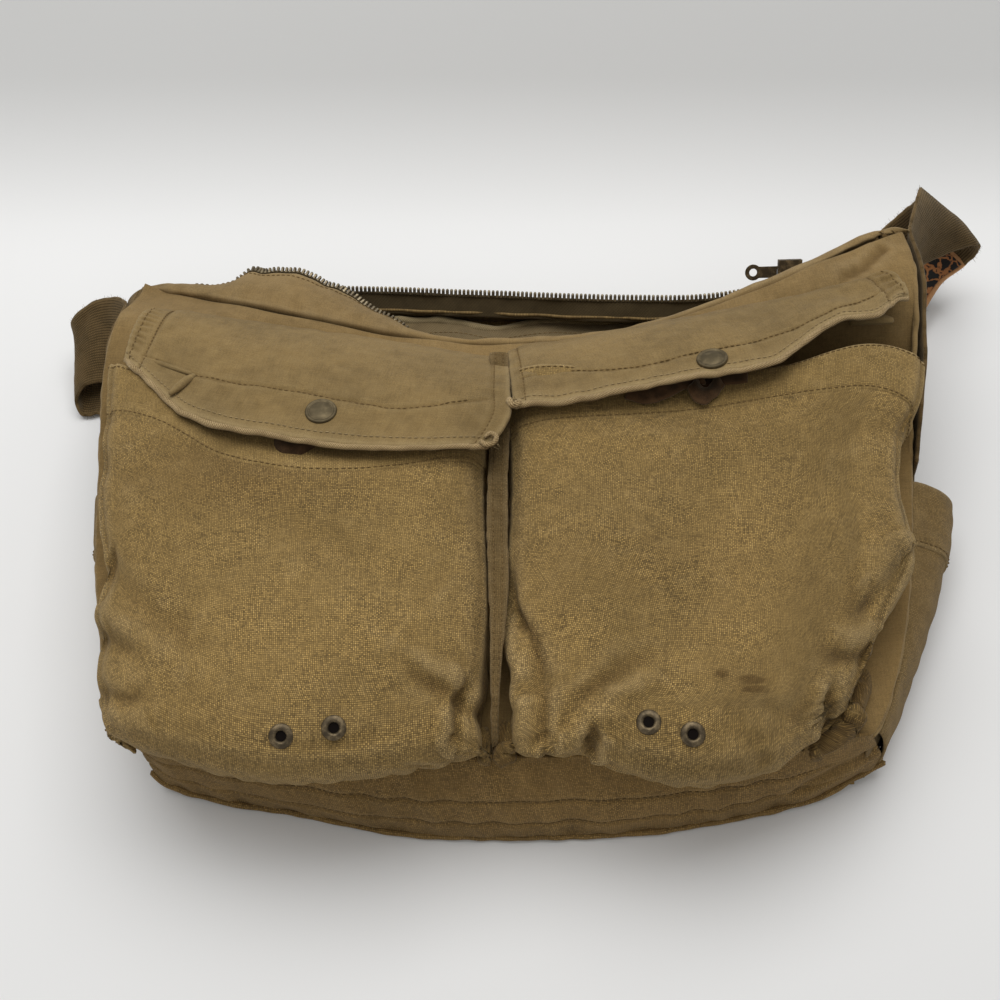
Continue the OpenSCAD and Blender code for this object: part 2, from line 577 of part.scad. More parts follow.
module snap_patch(side, size) difference() {
    c = stud_xy(side);
    point = function (i, j, up) let (
        x = c[0] + size[0] * (i / 6 - 0.5),
        t = pocket_t(c[1] + 8 - size[1] * j / 5),
        p = pocket_point(side, pocket_s(side, x, pocket_y(t)), t))
        p + [0, 0, up];
    sheet([for (i = [0 : 6]) [for (j = [5 : -1 : 0]) point(i, j, patch_up + patch_t)]],
          [for (i = [0 : 6]) [for (j = [5 : -1 : 0]) point(i, j, patch_up)]]);
    at_stud(side) cylinder(d = stud_hole, h = 12, center = true);
}
module snap_patch_left() color([0.14, 0.08, 0.04]) snap_patch(left, patch_size[0]);
module snap_patch_right() color([0.14, 0.08, 0.04]) snap_patch(right, patch_size[1]);
module snap_post(side) at_stud(side) translate([0, 0, -hem_t - 2.6]) difference() {
    cylinder(d = 9, h = 1.4);
    translate([0, 0, 0.7]) cylinder(d = 3, h = 2);
}
module snap_post_left() color([0.3, 0.26, 0.2]) snap_post(left);
module snap_post_right() color([0.3, 0.26, 0.2]) snap_post(right);

// ---------- side pockets ----------
side_pocket_top = [2, 8];       // y of the mouths, left and right
side_bulge = [9, 17];           // how far each stands off its side at the mouth
side_pocket_t = 1.6;
side_hem = 30;
side_low = corner_y + 5;
function side_mouth(side) = side < 0 ? side_pocket_top[0] : side_pocket_top[1];
function side_point(side, y, t, down = 0) = let (
    q = (y - side_low) / (side_mouth(side) - side_low),
    bulge = (side < 0 ? side_bulge[0] : side_bulge[1]) * (0.18 + 0.82 * smooth(0, 1, q)),
    n = 2 / 3)
    wall_point(side, y, mix(0.08, 0.9, t), seam_gap + 0.2 + max(0, bulge * pow(sin(180 * t), n) - down)
        + (down > 0 ? 0 : 0.8));
module side_shell(side, y0, y1, rows, thick) {
    ys = [for (i = [0 : rows]) mix(y0, y1, i / rows)];
    ts = steps(10);
    outer = [for (y = ys) [for (t = ts) side_point(side, y, t)]];
    inner = [for (y = ys) [for (t = ts) side_point(side, y, t, thick)]];
    if (side > 0) sheet(outer, inner);
    else sheet(inner, outer);
}
module side_pocket_left() color([0.38, 0.31, 0.2])
    side_shell(left, side_low, side_mouth(left) - side_hem, 5, side_pocket_t);
module side_pocket_right() color([0.38, 0.31, 0.2])
    side_shell(right, side_low, side_mouth(right) - side_hem, 5, side_pocket_t);
module side_pocket_left_hem() color([0.36, 0.29, 0.19])
    side_shell(left, side_mouth(left) - side_hem + 0.8, side_mouth(left), 3, side_pocket_t + 0.4);
module side_pocket_right_hem() color([0.36, 0.29, 0.19])
    side_shell(right, side_mouth(right) - side_hem + 0.8, side_mouth(right), 3, side_pocket_t + 0.4);

// ---------- strap ----------
// A point on the middle of the webbing where it is sewn to a side, with its width direction.
sewn_from = [14, 14];           // y where the webbing starts, left and right
function sewn(side, y) = let (
    low = wall_point(side, y, 0, 0),
    high = wall_point(side, y, 1, 0),
    t = side < 0 ? 0.55 : 0.6 + 0.12 * smooth(60, mouth_y, y),
    off = side < 0 ? 1.7 * smooth(84, 106, y) : smooth(100, mouth_y, y),
    mid = wall_point(side, y, t, web_t / 2 + 0.7 + off))
    [mid, (high - low) * side];
// Half a turn of the webbing from one height to another, at x, bulging towards dir.
function turn(x, z0, z1, dir) = [for (a = [0 : 45 : 180])
    [[x + dir * sin(a) * abs(z1 - z0) / 2, strap_y, mix(z0, z1, (1 - cos(a)) / 2)], [0, 1, 0]]];

z_low = low_run + web_t / 2;
z_mid = mid_run + web_t / 2;
z_top = top_run + web_t / 2;
pad_end = 10;                   // where the pad ends under the bag
fold_left = -150;               // where the highest run turns back, on the left
fold_right = 196;               // where the middle run turns back, on the right
right_loop = [
    [[224, 152, 66], [-0.2, 0, 1]], [[232, 164, 68], [-0.45, -0.02, 0.9]],
    [[243, 172, 67], [-0.75, -0.08, 0.62]], [[257, 182, 61], [-0.85, 0.1, 0.5]],
    [[269, 187, 49], [-0.8, 0.5, 0.3]], [[276, 186, 34], [-0.6, 0.8, 0.1]],
    [[274, 178, 21], [-0.45, 0.9, 0]], [[262, 166, 13], [-0.4, 0.92, 0]],
    [[244, 148, z_top + 0.4], [-0.4, 0.92, 0]], [[226, 131, z_top], [-0.3, 0.95, 0]],
    [[206, 118, z_top], [-0.12, 1, 0]], [[184, strap_y, z_top], [0, 1, 0]],
    [[pad_end, strap_y, z_top], [0, 1, 0]]];
left_loop = [
    [[-222, 136, 31], [-0.1, 0.3, -0.9]], [[-231, 128, 29], [-0.2, 0.8, -0.6]],
    [[-239, 119, 24], [0, 1, -0.15]], [[-242, 114, 16], [0, 1, 0]],
    [[-238, strap_y, 8], [0, 1, 0]], [[-228, strap_y, 3], [0, 1, 0]],
    [[-214, strap_y, z_low], [0, 1, 0]]];
function reversed(list) = [for (i = [len(list) - 1 : -1 : 0]) list[i]];
sewn_right = [for (y = wall_ys) if (y > sewn_from[1]) sewn(right, y)];
strap_path = concat(sewn_right, right_loop, turn(fold_left, z_top, z_mid, -1), turn(fold_right, z_mid, z_low, 1),
    reversed(left_loop),
    reversed([for (y = wall_ys) if (y > sewn_from[0] && y < 112) sewn(left, y)]));
module shoulder_strap() color([0.2, 0.15, 0.08]) 
    layer(strap_path, 0, len(strap_path) - 1, web_w, -web_t / 2, web_t / 2);

// The pad is sewn under the webbing from its fold on the right to the middle of the bag.
pad_first = len(sewn_right) + 6;
pad_last = len(sewn_right) + len(right_loop) - 1;
pad_slack = 0.95;
module pad_layer(w, drop, t) layer(strap_path, pad_first, pad_last, w, web_t / 2 + drop, web_t / 2 + drop + t);
module shoulder_pad() color([0.42, 0.25, 0.12]) pad_layer(pad_w, pad_slack, pad_t);
module shoulder_pad_lining() color([0.08, 0.07, 0.06])
    pad_layer(pad_w - 2, pad_slack + pad_t + 0.3, pad_cloth);

// ---------- assembly ----------
back_panel();
bottom_panel();
gusset_left();
gusset_right();
front_panel();
front_zip_facing();
back_zip_facing();
inner_pocket();
zip_tape_front();
zip_tape_back();
zip_teeth_front();
zip_teeth_back();
zip_stops();
zip_slider();
zip_pull();
pocket_left();
pocket_right();
pocket_left_hem();
pocket_right_hem();
centre_welt();
eyelets_left();
eyelets_right();
eyelet_washers_left();
eyelet_washers_right();
flap_left();
flap_right();
flap_left_piping();
flap_right_piping();
snap_cap_left();
snap_cap_right();
snap_socket_left();
snap_socket_right();
snap_stud_left();
snap_stud_right();
snap_patch_left();
snap_patch_right();
snap_post_left();
snap_post_right();
side_pocket_left();
side_pocket_right();
side_pocket_left_hem();
side_pocket_right_hem();
shoulder_strap();
shoulder_pad();
shoulder_pad_lining();
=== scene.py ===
"""Worn canvas messenger bag lying on its back. All lengths in the tables are millimetres in the
row frame: +X to the right, +Y to the mouth, +Z out of the front, back resting on z = 0."""
import math
from functools import cached_property

import bpy
import numpy as np
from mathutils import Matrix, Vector


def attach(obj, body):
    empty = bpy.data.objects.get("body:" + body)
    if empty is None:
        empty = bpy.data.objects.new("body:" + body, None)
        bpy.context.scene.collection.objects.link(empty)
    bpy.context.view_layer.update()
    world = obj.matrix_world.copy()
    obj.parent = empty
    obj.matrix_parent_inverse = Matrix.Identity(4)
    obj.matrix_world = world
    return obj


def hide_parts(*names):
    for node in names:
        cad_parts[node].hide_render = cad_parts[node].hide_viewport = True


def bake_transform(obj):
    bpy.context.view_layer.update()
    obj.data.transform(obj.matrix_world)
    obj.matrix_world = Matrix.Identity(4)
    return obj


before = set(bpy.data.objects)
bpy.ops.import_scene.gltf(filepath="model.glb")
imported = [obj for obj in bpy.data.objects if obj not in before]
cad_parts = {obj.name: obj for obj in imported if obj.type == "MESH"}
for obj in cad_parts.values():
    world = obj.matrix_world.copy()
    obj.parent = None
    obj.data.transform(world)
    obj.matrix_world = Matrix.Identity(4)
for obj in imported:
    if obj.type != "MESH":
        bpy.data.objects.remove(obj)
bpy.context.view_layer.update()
MM = 0.001
LEFT, RIGHT = -1, 1
SIDES = {LEFT: "left", RIGHT: "right"}
BODY_OF_FLAP = {LEFT: "flap_left_body", RIGHT: "flap_right_body"}


# ---------- numbers and curves ----------
def smooth(a, b, x):
    """0 below a, 1 above b, and a smooth way up between them."""
    t = np.clip((np.asarray(x, float) - a) / (b - a), 0, 1)
    return t * t * (3 - 2 * t)


def mix(a, b, t):
    return a + (b - a) * t


def bell(x, width):
    """1 at 0, falling off smoothly over the width."""
    return np.exp(-(x / width) ** 2)


def unit(v):
    """Each vector with length 1."""
    return v / np.maximum(np.linalg.norm(v, axis=-1, keepdims=True), 1e-9)


def pair(u, v):
    """Two arrays as one array of flat places."""
    return np.stack(np.broadcast_arrays(u, v), 2)


def dense(points, per=14):
    """A smooth curve through points, as a fine polyline."""
    p = np.asarray(points, float)
    gap = np.maximum(np.linalg.norm(np.diff(p[:, :3], axis=0), axis=1), 1e-6)
    k = np.r_[0, np.cumsum(gap)]
    slope = np.gradient(p, k, axis=0, edge_order=1)
    t = np.linspace(0, 1, per, endpoint=False)[:, None]
    out = []
    for i, h in enumerate(gap):
        out.append((2 * t**3 - 3 * t**2 + 1) * p[i] + (t**3 - 2 * t**2 + t) * h * slope[i]
                   + (3 * t**2 - 2 * t**3) * p[i + 1] + (t**3 - t**2) * h * slope[i + 1])
    return np.vstack(out + [p[-1:]])


def lengths(p):
    """Running length along a polyline."""
    return np.r_[0, np.cumsum(np.linalg.norm(np.diff(p, axis=0), axis=1))]


def at_length(q, k, p):
    """Points at the lengths q along a polyline p, whose running lengths are k."""
    return np.stack([np.interp(q, k, column) for column in p.T], -1)


def even(points, n, curve=True):
    """n points at even steps along the curve through points."""
    p = dense(points) if curve else np.asarray(points, float)
    k = lengths(p)
    return at_length(np.linspace(0, k[-1], n), k, p)


def lookup(points, x):
    """The table's other column at x, for a table of pairs in any order."""
    p = dense(points)
    order = np.argsort(p[:, 0], kind="stable")
    return np.interp(x, p[order, 0], p[order, 1])


def across(rows, q):
    """Points at places q, from 0 to 1, across several equally long curves."""
    a = np.asarray(rows, float)
    last = len(a) - 1
    f = np.clip(np.asarray(q, float) * last, 0, last - 1e-9)
    i = f.astype(int)
    t = (f - i).reshape((-1,) + (1,) * (a.ndim - 1))
    p0, p1, p2, p3 = a[np.maximum(i - 1, 0)], a[i], a[i + 1], a[np.minimum(i + 2, last)]
    return 0.5 * (2 * p1 + (p2 - p0) * t + (2 * p0 - 5 * p1 + 4 * p2 - p3) * t**2
                  + (3 * p1 - p0 - 3 * p2 + p3) * t**3)


def loft(rows, n, m):
    """An m by n grid through several curves."""
    return across([even(r, n) for r in rows], np.linspace(0, 1, m))


def coons(top, bottom, first, last, n, m):
    """An m by n grid between four edges. first joins the starts of top and bottom."""
    t, b, f, l = even(top, n), even(bottom, n), even(first, m), even(last, m)
    u = np.linspace(0, 1, n)[None, :, None]
    v = np.linspace(0, 1, m)[:, None, None]
    return (mix(t[None], b[None], v) + mix(f[:, None], l[:, None], u)
            - mix(mix(t[0], t[-1], u), mix(b[0], b[-1], u), v))


def waves(p, size, seed):
    """Smooth noise of about -1 to 1 with features of the given size, at any points."""
    count = 26
    r = np.random.default_rng(seed)
    q = np.asarray(p, float) / size
    out = np.zeros(q.shape[:-1])
    for _ in range(count):
        d = r.normal(size=q.shape[-1])
        d = d / np.linalg.norm(d) * r.uniform(0.6, 1.7) * math.pi
        out += np.cos(q @ d + r.uniform(0, 2 * math.pi))
    return out * math.sqrt(2 / count) * 0.6


# ---------- cloth as a grid of points ----------
def normals(p):
    """The way each point of a grid faces."""
    return unit(np.cross(np.gradient(p, axis=1), np.gradient(p, axis=0)))


def raised(p, amount):
    """The cloth moved out of its own face by an amount in millimetres at each point."""
    return p + normals(p) * amount[..., None]


def grid(fs, ft):
    """Column and row numbers of a grid, as two arrays."""
    return np.meshgrid(fs, ft)


def facing_way(p, way):
    """The same grid with its columns turned round if it faces away from way."""
    return p if (normals(p).mean((0, 1)) @ np.asarray(way, float)) > 0 else p[:, ::-1]


def inside_mask(p, border=5):
    """0 on the edges of a grid, rising to 1 at some rows and columns from them."""
    r, c = p.shape[:2]
    i, j = np.meshgrid(np.arange(r), np.arange(c), indexing="ij")
    gap = np.minimum(np.minimum(i, r - 1 - i), np.minimum(j, c - 1 - j))
    return smooth(0, border, gap)


def metric(p):
    """Distances in millimetres along the grid, from its middle: a flat map of the cloth."""
    step_v = np.linalg.norm(np.diff(p, axis=0), axis=2)
    step_u = np.linalg.norm(np.diff(p, axis=1), axis=2)
    v = np.vstack([np.zeros((1, p.shape[1])), np.cumsum(step_v, 0)])
    u = np.hstack([np.zeros((p.shape[0], 1)), np.cumsum(step_u, 1)])
    v -= v[p.shape[0] // 2][None]
    u -= u[:, p.shape[1] // 2][:, None]
    return np.stack([u, v], 2)


def along_line(p, flat, line):
    """Signed distance on the cloth from a line given by places in space, and how far along it."""
    pts = [flat.reshape(-1, 2)[np.argmin(((p - q) ** 2).sum(2))] for q in dense(line, 5)]
    pts = even(np.array(pts), max(8, len(line) * 5), curve=False)
    pts[1:-1] = (pts[:-2] + 2 * pts[1:-1] + pts[2:]) / 4
    k = lengths(pts)
    best = np.full(p.shape[:2], 1e9)
    place = np.zeros(p.shape[:2])
    sign = np.ones(p.shape[:2])
    for i in range(len(pts) - 1):
        d = pts[i + 1] - pts[i]
        size = max(np.linalg.norm(d), 1e-9)
        w = flat - pts[i]
        t = np.clip((w @ d) / size**2, 0, 1)
        gap = np.linalg.norm(w - t[..., None] * d, axis=2)
        near = gap < best
        best = np.where(near, gap, best)
        place = np.where(near, (k[i] + t * size) / k[-1], place)
        sign = np.where(near, np.sign(w[..., 0] * d[1] - w[..., 1] * d[0]), sign)
    return best * np.where(sign == 0, 1, sign), place


def fold(p, line, depth, width, lip=0.0, ends=(0.15, 0.3)):
    """Presses a fold along a line, with a raised lip on one side, or on the other if lip is below 0."""
    d, k = along_line(p, metric(p), line)
    fade = 1.0
    if ends[0] > 0:
        fade = fade * smooth(0, ends[0], k)
    if ends[1] > 0:
        fade = fade * (1 - smooth(1 - ends[1], 1, k))
    fade = fade * (1 - smooth(0.98, 1.0, np.where((k <= 0) | (k >= 1), np.abs(d) / (3 * width), 0)))
    ridge = bell(d - np.sign(lip) * 1.9 * width, 1.3 * width) * abs(lip)
    return raised(p, fade * (ridge - depth * bell(d, width)))


STIFFNESS = 0.6
# rows down and columns along from end to end, how strongly it pulls, and whether it only pushes
THREADS = [(0, 1, 1.0, False), (1, 0, 1.0, False), (1, 1, 0.6, False), (1, -1, 0.6, False),
           (0, 3, STIFFNESS, True), (3, 0, STIFFNESS, True), (0, 6, STIFFNESS, True), (6, 0, STIFFNESS, True)]


def ends_of(q, down, along):
    """Both ends of every thread that runs some rows down and some columns along."""
    r, c = q.shape[:2]
    if along >= 0:
        return q[:r - down, :c - along], q[down:, along:]
    return q[:r - down, -along:], q[down:, :c + along]


def settle(p, pinned, extra, rounds, seed, start, size, keep):
    """Lets the cloth buckle: each thread gets a little longer than its place and finds room."""
    rest = []
    for down, along, _, _ in THREADS:
        a, b = ends_of(p, down, along)
        rest.append(np.linalg.norm(b - a, axis=2) * (1 + extra))
    q = raised(p, waves(metric(p), size, seed) * start * pinned)
    for _ in range(rounds):
        move = np.zeros_like(q)
        count = np.full((*p.shape[:2], 1), 1e-9)
        for (down, along, w, only_push), l0 in zip(THREADS, rest):
            a, b = ends_of(q, down, along)
            d = b - a
            size_now = np.linalg.norm(d, axis=2)
            err = (size_now - l0) / np.maximum(size_now, 1e-6)
            if only_push:
                err = np.minimum(err + extra * 0.35, 0)
            step = 0.5 * w * err[..., None] * d
            for total, change in ((move, (step, -step)), (count, (w, w))):
                # both ends are views of total, so this adds to it in place
                for end, value in zip(ends_of(total, down, along), change):
                    end += value
        q = q + move / count * 1.6 * pinned[..., None]
        q += (p - q) * keep
    return q


def soften(f, times=1):
    """Each value of a grid mixed with its neighbours'."""
    for _ in range(times):
        g = np.pad(f, ((1, 1), (1, 1)) + ((0, 0),) * (f.ndim - 2), mode="edge")
        f = (g[:-2, 1:-1] + g[2:, 1:-1] + g[1:-1, :-2] + g[1:-1, 2:] + 2 * g[1:-1, 1:-1]) / 6
    return f


def hump(p, reach=4):
    """How much each point stands out (above 0) or lies in a hollow (below 0), in millimetres."""
    return ((p - soften(p, reach * reach // 2)) * normals(p)).sum(2)


# ---------- meshes ----------
def new_object(name, verts, faces, material, body="bag", replaces=(), smooth_shade=True):
    """A mesh of points in millimetres, hung on the body's empty when a body is given; the model parts it
    replaces are hidden.
    """
    mesh = bpy.data.meshes.new(name)
    mesh.from_pydata((np.asarray(verts, float) * MM).tolist(), [], [list(map(int, f)) for f in faces])
    mesh.validate()
    if smooth_shade:
        mesh.polygons.foreach_set("use_smooth", np.ones(len(mesh.polygons), bool))
    obj = bpy.data.objects.new(name, mesh)
    bpy.context.scene.collection.objects.link(obj)
    mesh.materials.append(material)
    if body:
        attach(obj, body)
    if replaces:
        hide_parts(*replaces)
    return obj


def set_maps(obj, flat, wear, dirt=0.0):
    """Writes the flat map of the cloth as a UV map, and its wear, and its dirt and painted shade, as
    attributes.
    """
    mesh = obj.data
    layer = mesh.uv_layers.new(name="cloth")
    index = np.empty(len(mesh.loops), np.int64)
    mesh.loops.foreach_get("vertex_index", index)
    flat = np.asarray(flat, np.float32)
    layer.data.foreach_set("uv", flat[index].ravel())
    for name, values in (("wear", wear), ("dirt", dirt)):
        attribute = mesh.attributes.new(name, "FLOAT", "POINT")
        attribute.data.foreach_set("value", np.broadcast_to(np.asarray(values, np.float32), len(flat)).copy())


def cloth(name, p, thick, material, replaces=(), body="bag", wear=0.0, dirt=0.0,
          edge_wear=(0, 0, 0, 0)):
    """A sheet of cloth with rounded edges. edge_wear is for the first and last row, first and last column."""
    r, c = p.shape[:2]
    n = normals(p)
    ring = np.array([(0, j) for j in range(c)] + [(i, c - 1) for i in range(1, r)]
                    + [(r - 1, j) for j in range(c - 2, -1, -1)] + [(i, 0) for i in range(r - 2, 0, -1)])
    on_rim = (ring[:, 0], ring[:, 1])
    ids = ring[:, 0] * c + ring[:, 1]
    edge, en = p[on_rim], n[on_rim]
    out = unit(np.cross(unit(np.roll(edge, -1, 0) - np.roll(edge, 1, 0)), en))
    inward = p[np.clip(ring[:, 0], 1, r - 2), np.clip(ring[:, 1], 1, c - 2)] - edge
    out = np.where(((out * inward).sum(1) > 0)[:, None], -out, out)
    rim = edge - en * thick / 2 + out * thick * 0.42
    verts = np.vstack([p.reshape(-1, 3), (p - n * thick).reshape(-1, 3), rim])
    i, j = np.meshgrid(np.arange(r - 1), np.arange(c - 1), indexing="ij")
    a = (i * c + j).ravel()
    upper = np.stack([a + 1, a + c + 1, a + c, a], 1)
    k = np.arange(len(ids))
    k2 = (k + 1) % len(ids)
    first, after = 2 * r * c + k, 2 * r * c + k2
    faces = np.vstack([upper, upper[:, ::-1] + r * c, np.stack([first, after, ids[k2], ids[k]], 1),
                       np.stack([ids[k] + r * c, ids[k2] + r * c, after, first], 1)])
    obj = new_object(name, verts, faces, material, body, replaces)
    flat = metric(p)
    # raised ridges get wear; hollows get darker, which is painted shade in the creases along with grime
    stand = np.clip(hump(p) / 0.9, -1.2, 1.2)
    w = np.broadcast_to(np.clip(stand, 0, 1) * 0.55 + wear, (r, c)).copy()
    d = np.broadcast_to(np.clip(-stand, 0, 1) * 0.8 + dirt, (r, c))
    reach = 1.6
    for amount, gap in zip(edge_wear, (flat[..., 1] - flat[:1, :, 1], flat[-1:, :, 1] - flat[..., 1],
                                       flat[..., 0] - flat[:, :1, 0], flat[:, -1:, 0] - flat[..., 0])):
        w += amount * bell(gap, reach)
    # the inner face gets 0.2 more darkening: painted shade under the cloth
    set_maps(obj, np.vstack([flat.reshape(-1, 2), flat.reshape(-1, 2), flat[on_rim]]),
             np.r_[w.ravel(), w.ravel() * 0.4, w[on_rim]], np.r_[d.ravel(), d.ravel() + 0.2, d[on_rim]])
    return obj


def ring_faces(base, rings, sides, caps=False):
    """Faces between rings of points that start at base, with a flat face on both ends if caps is true."""
    faces = []
    for i in range(base, base + (rings - 1) * sides, sides):
        for j in range(sides):
            j2 = (j + 1) % sides
            faces.append([i + j, i + j2, i + sides + j2, i + sides + j])
    if caps:
        last = base + (rings - 1) * sides
        faces += [list(range(base + sides - 1, base - 1, -1)), list(range(last, last + sides))]
    return faces


def tube(name, points, radius, material, body="bag", replaces=(), sides=10, wear=0.0,
         step=1.2):
    """A round roll along points; radius is one number or one for each point."""
    pts = dense(points, 8) if len(points) > 2 else np.asarray(points, float)
    n = max(4, int(lengths(pts)[-1] / step))
    p = even(pts, n, curve=False)
    rad = np.interp(np.linspace(0, 1, n), np.linspace(0, 1, np.size(radius)), np.atleast_1d(radius))
    t = unit(np.gradient(p, axis=0))
    side = unit(np.cross(t, np.array([0.0, 0.0, 1.0])))
    up = np.cross(side, t)
    ang = np.linspace(0, 2 * math.pi, sides, endpoint=False)
    ring = (p[:, None] + rad[:, None, None] * (side[:, None] * np.cos(ang)[None, :, None]
            + up[:, None] * np.sin(ang)[None, :, None]))
    ends = np.stack([p[0] - t[0] * rad[0] * 0.7, p[-1] + t[-1] * rad[-1] * 0.7])
    base = n * sides
    faces = ring_faces(0, n, sides)
    faces += [[base, (k + 1) % sides, k] for k in range(sides)]
    faces += [[base + 1, base - sides + k, base - sides + (k + 1) % sides] for k in range(sides)]
    obj = new_object(name, np.vstack([ring.reshape(-1, 3), ends]), faces, material, body, replaces)
    flat = np.stack([np.repeat(lengths(p), sides), np.tile(ang * np.mean(rad), n)], 1)
    set_maps(obj, np.vstack([flat, flat[:1], flat[-1:]]), wear)
    return obj


def lathe(name, profile, spots, material, body="bag", replaces=(), sides=40):
    """The same turned shape at several places, each given by a point and its axis."""
    verts, faces = [], []
    profile = np.asarray(profile, float)
    loop = dense(profile, 3) if len(profile) > 2 else profile
    ang = np.linspace(0, 2 * math.pi, sides, endpoint=False)[None, :, None]
    for at, axis in spots:
        axis = unit(np.asarray(axis, float))
        a = unit(np.cross(axis, (0.3, 1, 0.1)))
        b = np.cross(axis, a)
        ring = (np.asarray(at)[None, None] + loop[:, None, :1] * (np.cos(ang) * a + np.sin(ang) * b)
                + loop[:, None, 1:2] * axis)
        faces += ring_faces(sum(len(v) for v in verts), len(loop), sides)
        verts.append(ring.reshape(-1, 3))
    return new_object(name, np.vstack(verts), faces, material, body, replaces)


class Stitches:
    """Rows of thread, each stitch a short plump dash half sunk in the cloth."""

    def __init__(self):
        self.verts, self.faces, self.flat = [], [], []

    def row(self, points, normal, length=2.1, pitch=2.9, width=0.28):
        """A row of stitches of the given length and width, one every pitch millimetres."""
        lift, sides = 0.06, 6
        p = np.asarray(points, float)
        n = np.broadcast_to(np.asarray(normal, float), p.shape)
        k = lengths(p)
        count = int(k[-1] / pitch)
        rng = np.random.default_rng(len(self.verts) + count)
        rise = np.array([-0.25, 0.55, 0.8, 0.55, -0.25]) * width + lift
        size = np.array([0.45, 0.95, 1.0, 0.95, 0.45]) * width
        span = np.linspace(-length / 2, length / 2, len(size))
        for s in range(count):
            at = (s + 0.5) * k[-1] / count + rng.uniform(-0.12, 0.12)
            c = at_length(at + span, k, p)
            up = unit(at_length(at, k, n))
            side = unit(np.cross(unit(c[-1] - c[0]), up))
            self.faces += ring_faces(len(self.verts), len(size), sides, caps=True)
            for a in range(len(size)):
                for g in range(sides):
                    q = g * math.pi / 3
                    self.verts.append(c[a] + up * rise[a] + size[a] * (side * math.cos(q) + up * math.sin(q)))
                    self.flat.append((at + span[a], g * width))

    def on(self, p, row=None, column=None, under=False, **kw):
        """Along one row or column of a grid, at a place from 0 to 1."""
        n = normals(p) * (-1 if under else 1)
        if row is None:
            p, n, row = p.transpose(1, 0, 2), n.transpose(1, 0, 2), column
        self.row(across(p, [row])[0], unit(across(n, [row])[0]), **kw)

    def make(self, name, material, body, slot="canvas"):
        """All the rows as one piece."""
        obj = new_object(name, np.array(self.verts), self.faces, material, body)
        set_maps(obj, np.array(self.flat), 0.0)
        return obj


# ---------- materials ----------
class Value:
    """One value in a material's nodes; sums and products with it make new nodes."""

    def __init__(self, nodes, socket):
        self.nodes, self.socket = nodes, socket

    def __add__(self, other):
        return self.nodes.math("ADD", self, other)

    def __sub__(self, number):
        return self + -number

    def __mul__(self, other):
        return self.nodes.math("MULTIPLY", self, other)

    def power(self, number):
        return self.nodes.math("POWER", self, number)

    def inverse(self):
        """1 less the value."""
        return self.nodes.math("SUBTRACT", 1.0, self)


class Nodes:
    """A material made of nodes, written as sums."""

    def __init__(self, name):
        self.mat = bpy.data.materials.new(name)
        self.mat.use_nodes = True
        self.tree = self.mat.node_tree
        self.tree.nodes.clear()
        self.shader = self.tree.nodes.new("ShaderNodeBsdfPrincipled")
        out = self.tree.nodes.new("ShaderNodeOutputMaterial")
        self.tree.links.new(self.shader.outputs[0], out.inputs[0])

    @cached_property
    def uv(self):
        return self.node("ShaderNodeUVMap", uv_map="cloth").outputs[0]

    @cached_property
    def place(self):
        """The place on the object, in millimetres."""
        return self.scale(self.node("ShaderNodeTexCoord").outputs["Object"], (1 / MM, 1 / MM, 1 / MM))

    def put(self, socket, value):
        """Sets a socket to a value or links it."""
        value = value.socket if isinstance(value, Value) else value
        if isinstance(value, bpy.types.NodeSocket):
            self.tree.links.new(value, socket)
        elif isinstance(value, tuple) and len(value) == 3 and len(socket.default_value) == 4:
            socket.default_value = (*value, 1)
        else:
            socket.default_value = value

    def node(self, kind, inputs=(), **props):
        """A new node with its inputs and settings."""
        n = self.tree.nodes.new(kind)
        for k, v in props.items():
            setattr(n, k, v)
        for k, v in dict(inputs).items():
            self.put(n.inputs[k], v)
        return n

    def math(self, op, a, b=0.0):
        return Value(self, self.node("ShaderNodeMath", {0: a, 1: b}, operation=op).outputs[0])

    def sine(self, x, period):
        """A wave that crosses 0 twice in each period."""
        return self.math("SINE", x * (2 * math.pi / period))

    def clamped(self, x):
        """The value kept between 0 and 1."""
        return self.math("MINIMUM", self.math("MAXIMUM", x, 0.0), 1.0)

    def step(self, x, a, b, low=0.0, high=1.0):
        """From low at a to high at b."""
        n = self.node("ShaderNodeMapRange", {0: x, 1: a, 2: b, 3: low, 4: high},
                      interpolation_type="SMOOTHSTEP")
        return Value(self, n.outputs[0])

    def colour(self, f, a, b, blend="MIX"):
        """A colour from a to b as f goes from 0 to 1."""
        return self.node("ShaderNodeMix", {0: f, 6: a, 7: b}, data_type="RGBA", blend_type=blend).outputs[2]

    def parts(self, vector):
        """The first two parts of a vector."""
        n = self.node("ShaderNodeSeparateXYZ", {0: vector})
        return Value(self, n.outputs[0]), Value(self, n.outputs[1])

    def scale(self, vector, by):
        return self.node("ShaderNodeVectorMath", {0: vector, 1: by}, operation="MULTIPLY").outputs[0]

    def noise(self, vector, size, detail=2.0, rough=0.5):
        """Noise of 0 to 1 with features of the given size in millimetres."""
        n = self.node("ShaderNodeTexNoise", {"Vector": vector, "Scale": 1 / size, "Detail": detail,
                                             "Roughness": rough}, noise_dimensions="3D")
        return Value(self, n.outputs[0])

    def attribute(self, name):
        """A map kept on the cloth: its wear, or its dirt and painted shade."""
        return Value(self, self.node("ShaderNodeAttribute", attribute_name=name).outputs["Fac"])

    def finish(self, colour, rough, height=None, distance=0.1, sheen=0.0, metal=0.0, specular=0.3):
        """The material; distance is the depth of its relief in millimetres."""
        values = {"Base Color": colour, "Roughness": rough, "Metallic": metal, "Specular IOR Level": specular,
                  "Sheen Weight": sheen, "Sheen Roughness": 0.45, "Sheen Tint": (1.0, 0.86, 0.62)}
        if height is not None:
            bump = self.node("ShaderNodeBump", {"Height": height, "Strength": 1.0, "Distance": distance * MM})
            values["Normal"] = bump.outputs[0]
        for name, value in values.items():
            self.put(self.shader.inputs[name], value)
        return self.mat


def tint(c, k):
    """A colour made darker or lighter."""
    return tuple(min(1.0, x * k) for x in c)


